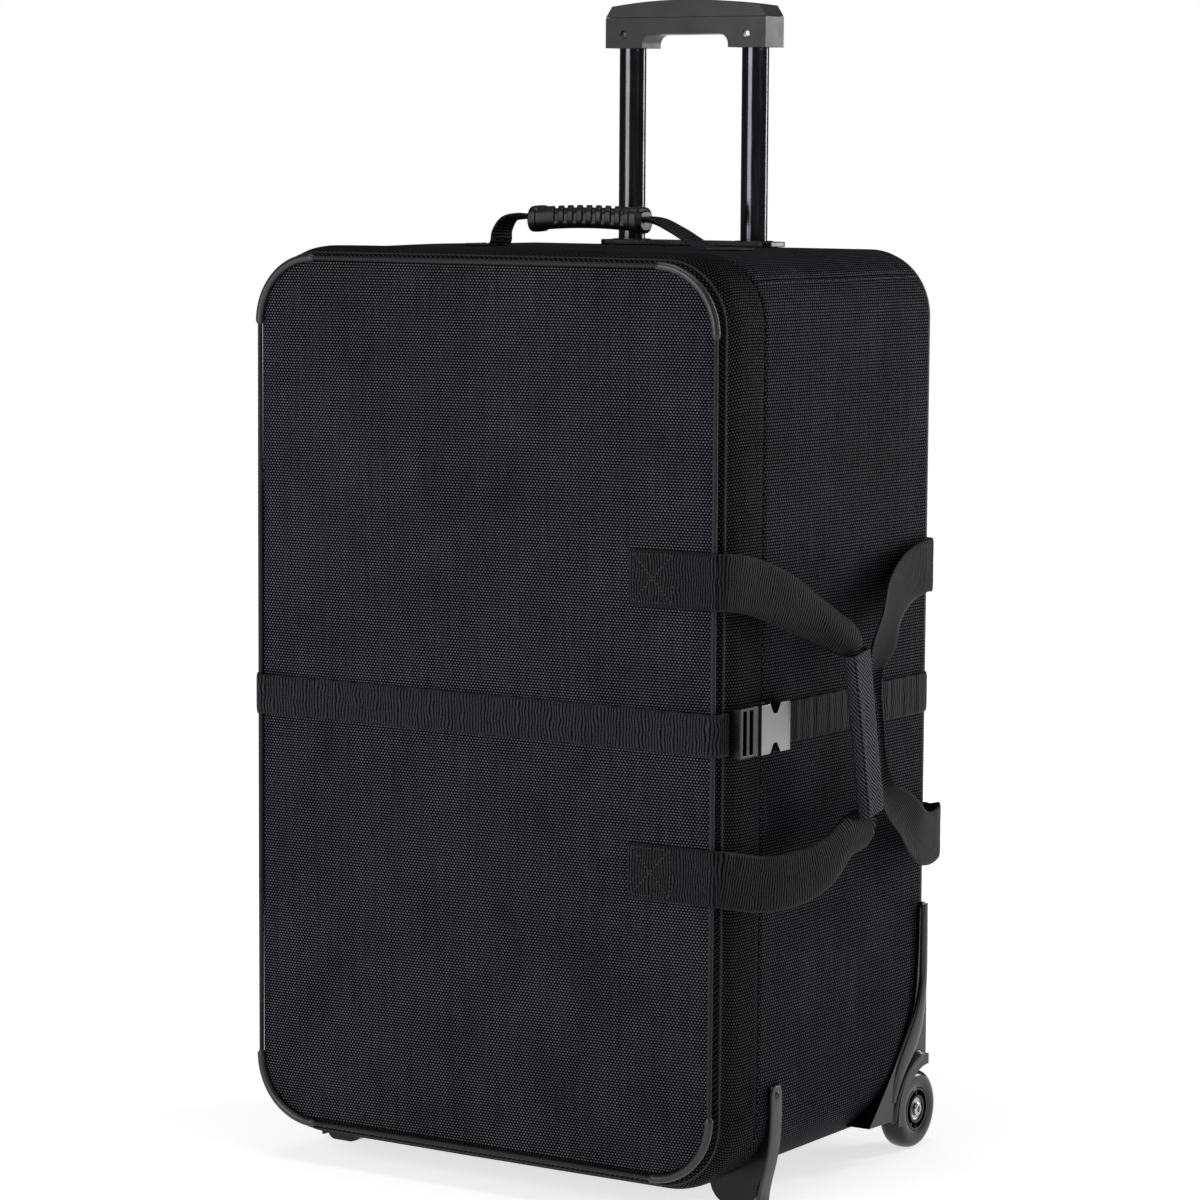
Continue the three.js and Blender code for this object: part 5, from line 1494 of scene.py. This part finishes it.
# ---------------------------------------------------------------- top handle
@dataclass
class TopHandle:
    """A webbing handle on the top: steep at one end, sloping at the other, with a moulded grip."""

    top_z: float = 862.0
    grip_from: float = -71.5
    grip_to: float = 55.5
    grip_z: float = 890.0
    half_depth: float = 15.2
    half_height: float = 12.4
    slots: int = 8

    def build(self, bench: Bench) -> None:
        """Builds the strap, its sewn tabs and the moulded grip."""
        self._strap(bench)
        self._tabs(bench)
        self._grip(bench)

    def _strap(self, bench: Bench) -> None:
        """Webbing rolled towards a round as it enters the grip, flat where it is sewn."""
        z = self.top_z
        rows = [
            (-110, 0, z + 2.2, 0, 1, 0, 37, 0.05, 1),
            (-107, 0, z + 5, 0, 1, 0, 37, 0.3, 1),
            (-104, 0, z + 14, 0, 1, 0, 36, 0.9, 0.8),
            (-96, 0, z + 24, 0, 1, 0, 34, 1.6, 0.7),
            (-82, 0, z + 27, 0, 1, 0, 32, 2.6, 0.6),
            (-66, 0, z + 27, 0, 1, 0, 30, 3.6, 0.4),
            (-8, 0, z + 28, 0, 1, 0, 30, 3.8, 0.36),
            (50, 0, z + 27, 0, 1, 0, 30, 3.6, 0.4),
            (66, 0, z + 24, 0, 1, 0, 33, 2.6, 0.6),
            (84, 0, z + 17, 0, 1, 0, 36, 1.5, 0.7),
            (104, 0, z + 8, 0, 1, 0, 37, 0.6, 1),
            (120, 0, z + 3, 0, 1, 0, 37, 0.15, 1),
            (128, 0, z + 2.2, 0, 1, 0, 37, 0.05, 1),
        ]
        line = smooth_line(np.array(rows, float), 300)
        surface = flat_strap(line[:, :3], line[:, 3:6], line[:, 6], 1.8, line[:, 7], -line[:, 8])
        piece = bench.add("handle_web", surface, BELT_WEB, "", "webbing", ("top_handle_strap",), sharp=180)
        bench.row(0, 0, z + 1)
        bench.row(0, 0, z + 17)
        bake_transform(piece)

    def _tabs(self, bench: Bench) -> None:
        """The strap's ends, flat on the top cover under a box stitch."""
        for name, x0, x1 in (("left", -142.0, -108.0), ("right", 126.0, 162.0)):
            x = np.linspace(x0, x1, 30)
            path = np.stack([x, 0 * x, np.full(30, self.top_z + 1.9)], axis=1)
            tab = flat_strap(path, each(Y_WAY, 30), 38.0, 1.8)
            bench.add(f"handle_tab_{name}", tab, BELT_WEB, "case", "webbing", sharp=180)

            def place(rows: Array) -> Array:
                """Points on the tab's face."""
                return np.stack([rows[:, 0], rows[:, 1], np.full(len(rows), self.top_z + 2.8)], axis=1)

            paths = box_stitch(x0 + 3, x1 - 3, -15.0, 15.0, place)
            stitches = stitch_rows(paths, np.array([0.0, 0.0, 1.0]))
            bench.add(f"handle_stitch_{name}", stitches, THREAD, "case", "webbing", sharp=180)

    def _grip(self, bench: Bench) -> None:
        """The moulding: a rounded section carried along a low arch, with slanted slots across its top.

        Its radius in a direction is the superellipse of the half depth and half height. It swells to a
        collar at each end. Each slot sinks slot_depth into the top where the distance to it is small.
        """
        columns = 96
        length = self.grip_to - self.grip_from
        middle_x = (self.grip_to + self.grip_from) / 2
        x = self.grip_from + length * np.linspace(0, 1, 320)
        share = 2 * (x - middle_x) / length
        angle = np.linspace(0, 2 * np.pi, columns + 1)[None]
        collar = ease(np.abs(share), 0.80, 0.84)[:, None]
        nose = (1 - ease(np.abs(share), 0.93, 1.0) * 0.34)[:, None]
        half_y = (self.half_depth - 1.3 + 1.3 * collar) * nose
        half_z = (self.half_height - 1.5 + 1.5 * collar) * nose
        power = 3.0
        reach = (np.abs(np.cos(angle)) ** power + np.abs(np.sin(angle)) ** power) ** (-1 / power)
        y, z = half_y * reach * np.cos(angle), half_z * reach * np.sin(angle)
        pitch = length * 0.66 / self.slots
        along = x[:, None] - middle_x + 0.55 * y
        inside = 1 - ease(np.abs(along), pitch * self.slots / 2 - 1.5, pitch * self.slots / 2)
        to_slot = np.abs((along / pitch) % 1 - 0.5) * pitch
        slot = (1 - ease(to_slot, 1.7, 2.8)) * inside * ease(z / half_z + np.abs(y) / half_y, 0.2, 0.9)
        slot_depth = 2.2
        z = z - slot_depth * slot * np.sign(z + 2.0).clip(0)
        y = y * (1 - 0.14 * slot)
        rise = 3.2 * (1 - share[:, None] ** 2)
        points = np.stack(np.broadcast_arrays(x[:, None], y, self.grip_z - 1.5 + rise + z), axis=2)
        moulding = capped(points)
        nodes = ("top_handle_grip",)
        bench.add("handle_moulding", moulding, SOFT_GRIP, "top_handle", "grip", nodes, sharp=60)


# ---------------------------------------------------------------- trolley
@dataclass
class Trolley:
    """Two pull-up tubes with a moulded grip, its release button, and the plate they run through."""

    tube_x: float = 69.5
    tube_y: float = 170.0
    radius: float = 13.0
    screw_z: float = 1065.3
    screw_y: float = 152.5

    def build(self, bench: Bench) -> None:
        """Builds the tubes, rounds the mouldings and puts in the screws."""
        for side, name in ((1, "right"), (-1, "left")):
            self._tube(bench, side, name)
            self._screw(bench, side, name)
        bench.bevelled("grip_lower", GRIP, "grip", 3.0, 4)
        bench.bevelled("grip_upper", GRIP, "grip", 3.0, 4)
        bench.bevelled("release_button", ACETAL, "gloss", 1.4, 4)
        bench.bevelled("trolley_top_plate", HUB, "moulded", 1.6, 3)
        for node in ("outer_tube_right", "outer_tube_left"):
            bench.dress(node, TUBE)
        for node in ("release_linkage", "lock_pin_right", "lock_pin_left"):
            bench.dress(node, STEEL)

    def _tube(self, bench: Bench, side: int, name: str) -> None:
        """A round tube, its wall turned in at both ends, with a ring seal where it leaves the plate."""
        low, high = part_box("inner_tube_" + name)
        z0, z1 = low.z / MM, high.z / MM
        profile = np.array(
            [(z0, self.radius - 1.5), (z0, self.radius - 0.2), (z0 + 0.3, self.radius)]
            + [(z, self.radius) for z in np.linspace(z0 + 20, z1 - 20, 12)]
            + [(z1 - 0.3, self.radius), (z1, self.radius - 0.2)]
            + [(z1, self.radius - 1.5), (z0, self.radius - 1.5)]
        )
        tube = self._turned(profile, side)
        bench.add("pull_tube_" + name, tube, TUBE, "trolley", "tube", ("inner_tube_" + name,), sharp=40)
        foot, lip, bore = 867.4, 868.1, 13.9
        seal = np.array([(lip, bore), (lip, 18.2), (foot, 19.0), (foot, bore), (lip, bore)])
        bench.add("tube_seal_" + name, self._turned(seal, side), HUB, "case", "moulded", sharp=40)

    def _turned(self, profile: Array, side: int) -> Surface:
        """A profile of (z, radius) rows turned about the axis of the tube on one side."""
        angle = np.linspace(0, 2 * np.pi, 73)[:, None]
        x = side * self.tube_x + profile[:, 1] * np.cos(angle)
        y = self.tube_y + profile[:, 1] * np.sin(angle)
        return grid(np.stack(np.broadcast_arrays(x, y, profile[:, 0]), axis=2))

    def _screw(self, bench: Bench, side: int, name: str) -> None:
        """The grip's screw, its cross-recessed head facing the front."""
        finish = STEEL if side > 0 else DARK_STEEL
        turn = np.array([[1.0, 0, 0], [0, 0, -1.0], [0, 1.0, 0]])
        place = np.array([side * self.tube_x, self.screw_y + 0.6, self.screw_z])
        head = screw_head(3.8, 0.9).moved(turn, place)
        slot = "steel" if side > 0 else "dark_steel"
        nodes = ("grip_screw_" + name,)
        bench.add("grip_screw_head_" + name, head, finish, "trolley", slot, nodes, sharp=40)


def screw_head(radius: float, dome: float) -> Surface:
    """A cross-recessed screw head that faces +Z, its middle at the origin.

    Its height is dome (1 - r squared) less a recess where either arm of the cross is near, over radius r
    and angle; its skirt goes straight back.
    """
    r = np.linspace(0, 1, 30)[:, None]
    angle = np.linspace(0, 2 * np.pi, 97)[None]
    x, y = radius * r * np.cos(angle), radius * r * np.sin(angle)
    arm = np.minimum(np.abs(x), np.abs(y))
    reach = 1 - ease(np.hypot(x, y), 0.5 * radius, 0.62 * radius)
    recess = (1 - ease(arm, 0.11 * radius, 0.17 * radius)) * reach
    z = dome * (1 - r**2) - 0.8 * recess + 0 * angle
    top = np.stack([x, y, z], axis=2)
    rim = top[-1:]
    skirt = rim - np.array([0, 0, 1.2])
    closing = skirt * (0, 0, 1) + np.zeros_like(skirt)
    return grid(np.concatenate([top, skirt, closing]))


# ---------------------------------------------------------------- wheels, brackets and feet
@dataclass
class Wheel:
    """A skate wheel: a cast tyre on a spoked core, with a bearing and a bolt through it."""

    middle_x: float = 239.0
    radius: float = 38.0
    half_width: float = 12.0
    core: float = 21.0
    bearing: float = 11.0
    spokes: int = 10

    def build(self, bench: Bench) -> None:
        """Builds each side's tyre, core, bearing and bolt."""
        for side, name in ((1, "right"), (-1, "left")):
            body = "wheel_" + name
            parts = (
                ("tyre", self._tyre(), TYRE, body, "tyre", "wheel_tyre_"),
                ("core", self._core(), HUB, body, "moulded", "wheel_hub_"),
                ("bearing", self._bearing(), STEEL, body, "steel", "wheel_bearing_"),
                ("bolt", self._bolt(), STEEL, "case", "steel", "axle_bolt_"),
            )
            for part, surface, finish, rides, slot, node in parts:
                made = surface if side > 0 else surface.mirrored()
                bench.add(f"{part}_{name}", made, finish, rides, slot, (node + name,), sharp=35)

    def _ring(self, rows: list[tuple[float, float]], segments: int = 96) -> Surface:
        """A closed profile of (x from the middle, radius) turned about the axle."""
        profile = np.array(rows + rows[:1], float) + (self.middle_x, 0)
        return turned_x(profile, WHEEL_Y, WHEEL_Z, segments)

    def _tyre(self) -> Surface:
        """The tread: nearly flat across, an elliptical shoulder, and a flat wall down to the core."""
        angle = np.linspace(-np.pi / 2, np.pi / 2, 29)
        bend = np.sign(np.sin(angle)) * np.abs(np.sin(angle)) ** 0.8
        rise = self.radius - 11 + 11 * np.abs(np.cos(angle)) ** 0.62
        tread = list(zip(self.half_width * bend, rise))
        wall = [(self.half_width - 0.5, 23.5), (self.half_width - 1.2, self.core + 0.3)]
        return self._ring([(-x, r) for x, r in wall[::-1]] + tread + wall)

    def _core(self) -> Surface:
        """Rim and inner sleeve turned, joined by spokes that stand between the openings."""
        h = self.half_width - 1
        inner_half = [(-h, 18.6), (-h, 20.4), (-h + 0.6, self.core)]
        outer_half = [(h - 0.6, self.core), (h, 20.4), (h, 18.6)]
        rim = self._ring(inner_half + outer_half + [(7, 17.8), (-7, 17.8)])
        sleeve = self._ring([(-h, 11.3), (-h, 13.4), (-7, 14.2), (7, 14.2), (h, 13.4), (h, 11.3)])
        t = np.linspace(0, 1, 6)
        middle = np.stack([13.5 + 5.2 * t, 0 * t, 0 * t], axis=1)
        side = each(Y_WAY, 6)
        up = each(Z_WAY, 6)
        widths = (1.5 + 1.0 * (2 * t - 1) ** 2)[:, None, None] * np.array([1.0, 0.0])
        box = rounded_box_section(1.0, 1.0, 0.25, 3)[None]
        section = box * (widths + np.array([0.0, 7.6]))
        spoke = capped(carried(middle, side, up, section))
        turns = 2 * np.pi * np.arange(self.spokes) / self.spokes
        out = np.stack([0 * turns, np.cos(turns), np.sin(turns)], axis=1)
        places = np.tile([self.middle_x, WHEEL_Y, WHEEL_Z], (self.spokes, 1))
        spokes = repeated(spoke, places, out, each(X_WAY, self.spokes))
        return merged(rim, sleeve, spokes)

    def _bearing(self) -> Surface:
        """Outer race, shield and inner race, with a groove between them."""
        x1 = self.half_width - 2
        x0 = x1 - 7
        r = self.bearing
        rows = [(x0, 4.5), (x0, r), (x1 - 0.3, r), (x1, r - 0.3), (x1, 9.4), (x1 - 0.7, 9.2)]
        rows += [(x1 - 0.7, 6.9), (x1, 6.7), (x1, 4.8), (x1 - 0.3, 4.5)]
        return self._ring(rows)

    def _bolt(self) -> Surface:
        """The axle with a domed head in which a round socket is sunk."""
        x1 = self.half_width - 2
        shaft = [(-19.6, 0.01), (-19.6, 3.7), (-19.3, 4.0), (x1 + 0.5, 4.0)]
        flange = [(0.5, 6.3), (0.8, 6.5), (2.0, 6.4), (2.7, 5.6), (3.0, 4.2)]
        socket = [(3.0, 3.0), (1.2, 2.7), (1.2, 0.01)]
        return self._ring(shaft + [(x1 + rise, r) for rise, r in flange + socket], 48)


@dataclass
class RunningGear:
    """The wheel brackets and the front feet, moulded, with their screws."""

    foot_y: float = -90.0
    screw_z: float = 105.0
    head_x: float = 259.3

    def build(self, bench: Bench) -> None:
        """Rounds the mouldings and puts in the screws."""
        for side, name in ((1, "right"), (-1, "left")):
            bench.bevelled("wheel_bracket_" + name, MOULDED, "moulded", 2.2, 4, 35)
            bench.bevelled("foot_" + name, HUB, "moulded", 2.2, 4, 35)
            turn = np.array([[0, 0, 1.0], [1.0, 0, 0], [0, 1.0, 0]])
            head = screw_head(4.6, 1.0).moved(turn, np.array([self.head_x, self.foot_y, self.screw_z]))
            made = head if side > 0 else head.mirrored()
            bench.add("foot_screw_head_" + name, made, DARK_STEEL, "case", "steel", ("foot_screw_" + name,))
            for part, surface in (("fender_lip", self._fender()), ("bracket_crown", self._crown())):
                made = surface if side > 0 else surface.mirrored()
                bench.add(f"{part}_{name}", made, MOULDED, "case", "moulded", sharp=60)
            runner = self._runner() if side > 0 else self._runner().mirrored()
            bench.add("runner_" + name, runner, STRIP, "case", "moulded", sharp=60)

    def _fender(self) -> Surface:
        """A rounded lip over the wheel: an ellipse carried round the well, thinning to its toe."""
        count = 70
        share = np.linspace(0, 1, count)
        angle = np.radians(97 + 86 * share)
        radius = 55.5
        out = np.stack([0 * angle, np.cos(angle), np.sin(angle)], axis=1)
        middle = np.array([256.0, WHEEL_Y, WHEEL_Z]) + radius * out
        side = each(X_WAY, count)
        round_end = np.sqrt(1 - (2 * share - 1) ** 24)[:, None, None] + 1e-3
        size = np.stack([5.6 - 1.4 * share, 8.8 - 2.6 * share], axis=1)[:, None]
        section = circle(1.0, 20)[None] * size * round_end
        return capped(carried(middle, side, out, section))

    def _crown(self) -> Surface:
        """A soft ridge up the bracket's strip and down its flared foot, as a flattened round section."""
        stations = [
            (258.4, 185.0, 240, 4.6),
            (258.6, 185.0, 200, 5.0),
            (258.6, 184.0, 165, 5.8),
            (258.6, 180.0, 145, 8.0),
            (258.4, 172.0, 124, 11.0),
            (258.0, 160.0, 106, 12.0),
            (257.6, 147.0, 90, 11.0),
            (257.0, 137.0, 72, 9.0),
            (256.4, 131.0, 56, 6.0),
        ]
        line = smooth_line(np.array(stations, float), 120)
        tangent = unit(np.gradient(line[:, :3], axis=0))
        out = each(X_WAY, 120)
        side = np.cross(tangent, out)
        section = circle(1.0, 20)[None] * np.stack([line[:, 3], np.full(120, 2.6)], axis=1)[:, None]
        return capped(carried(line[:, :3], side, out, section))

    def _runner(self) -> Surface:
        """The foot's pale face: a rounded strip with a round top, curving in under the case."""
        stations = [
            (257.1, 114.6),
            (257.7, 108),
            (257.8, 98),
            (257.8, 84),
            (257.2, 70),
            (255.4, 54),
            (252.2, 38),
            (248.6, 24),
            (246.2, 12),
            (245.2, 3.4),
        ]
        count = 90
        line = smooth_line([(x, self.foot_y, z) for x, z in stations], count)
        share = np.linspace(0, 1, count)
        tangent = unit(np.gradient(line, axis=0))
        side = each(Y_WAY, count)
        out = np.cross(side, tangent)
        top = np.sqrt(1 - (1 - np.clip(share / 0.075, 0, 1)) ** 2 * 0.999)
        narrowed = np.stack([top, np.ones(count)], axis=1)[:, None]
        section = rounded_box_section(9.4, 1.6, 1.3)[None] * narrowed
        return capped(carried(line, side, out, section))


# ---------------------------------------------------------------- studio
@dataclass
class Studio:
    """Camera, floor and lights."""

    camera: tuple[float, float, float] = (2.11175, -3.28918, 0.9511)
    azimuth: float = 33.0
    elevation: float = 6.13
    roll: float = 0.37
    lens: float = 124.9

    def build(self) -> None:
        """Sets up the camera, the pale floor, the world and the soft lights."""
        self._camera()
        self._floor()
        self._world()
        self._light("front", (-0.9, -3.4, 1.5), (0.0, 0.0, 0.6), (2.2, 2.2), 88)
        self._light("rim", (1.6, 2.7, 1.5), (0.0, 0.0, 0.7), (0.5, 2.4), 50)
        self._light("side", (3.4, -0.4, 2.0), (0.1, 0.0, 0.6), (2.0, 1.6), 15)
        self._light("top", (0.0, -0.3, 3.0), (0.0, 0.0, 0.8), (2.0, 1.6), 26)

    def _camera(self) -> None:
        """A long lens at the height of the lid, level but for a slight roll."""
        az, el, roll = (math.radians(a) for a in (self.azimuth, self.elevation, self.roll))
        back = Vector((math.sin(az) * math.cos(el), -math.cos(az) * math.cos(el), math.sin(el)))
        right = Vector((math.cos(az), math.sin(az), 0))
        up = back.cross(right)
        turned_right = right * math.cos(roll) + up * math.sin(roll)
        turned_up = up * math.cos(roll) - right * math.sin(roll)
        data = bpy.data.cameras.new("camera")
        data.lens, data.sensor_width = self.lens, 36
        data.clip_end = 50
        made = bpy.data.objects.new("camera", data)
        bpy.context.scene.collection.objects.link(made)
        made.matrix_world = Matrix.Translation(self.camera) @ Matrix(
            [(turned_right[i], turned_up[i], back[i]) for i in range(3)]
        ).to_4x4()
        bpy.context.scene.camera = made

    def _floor(self) -> None:
        """A large plain square, nearly white, that glows more away from the object to meet the world."""
        half = 12.0
        corners = [(-half, -half, 0), (half, -half, 0), (half, half, 0), (-half, half, 0)]
        mesh = bpy.data.meshes.new("floor")
        mesh.from_pydata(corners, [], [(0, 1, 2, 3)])
        made = bpy.data.objects.new("floor", mesh)
        bpy.context.scene.collection.objects.link(made)
        material = bpy.data.materials.new("painted studio floor")
        material.use_nodes = True
        tree = material.node_tree
        shader = tree.nodes["Principled BSDF"]
        shader.inputs["Base Color"].default_value = linear("c8c8c8")
        shader.inputs["Roughness"].default_value = 0.9
        shader.inputs["Specular IOR Level"].default_value = 0.0
        shader.inputs["Emission Color"].default_value = (1, 1, 1, 1)
        where = Finish.place(tree, Coordinates.OBJECT)
        away = add_node(tree, "ShaderNodeVectorMath", {0: where}, operation="LENGTH").outputs["Value"]
        tree.links.new(Maths(tree).mapped(away, 0.6, 2.2, 0.7, 1.0), shader.inputs["Emission Strength"])
        mesh.materials.append(material)

    def _world(self) -> None:
        """White behind the object, and a dimmer white as its light."""
        world = bpy.data.worlds.new("studio")
        bpy.context.scene.world = world
        world.use_nodes = True
        tree = world.node_tree
        tree.nodes.clear()
        seen = add_node(tree, "ShaderNodeLightPath").outputs["Is Camera Ray"]
        strength = Maths(tree).mapped(seen, 0, 1, 0.1, 1.0)
        back = add_node(tree, "ShaderNodeBackground", {"Color": (1, 1, 1, 1), "Strength": strength})
        add_node(tree, "ShaderNodeOutputWorld", {"Surface": back.outputs[0]})
        bpy.context.scene.view_settings.view_transform = "Standard"

    @staticmethod
    def _light(
        name: str, place: tuple[float, ...], aim: tuple[float, ...], size: tuple[float, float], watts: float
    ) -> None:
        """A rectangular soft light that faces a point."""
        data = bpy.data.lights.new(name, "AREA")
        data.shape, data.size, data.size_y, data.energy = "RECTANGLE", size[0], size[1], watts
        made = bpy.data.objects.new(name, data)
        bpy.context.scene.collection.objects.link(made)
        made.location = place
        made.rotation_mode = "QUATERNION"
        made.rotation_quaternion = (Vector(aim) - Vector(place)).to_track_quat("-Z", "Y")


def main() -> None:
    """Builds every sub-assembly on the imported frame."""
    logging.basicConfig(level=logging.INFO, format="%(name)s: %(message)s")
    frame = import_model()
    Studio().build()
    bench = Bench(frame)
    for assembly in (Tray(), Lid(), Belt(), GrabLoops(), TopHandle(), Trolley(), Wheel(), RunningGear()):
        assembly.build(bench)


if __name__ == "__main__":
    main()
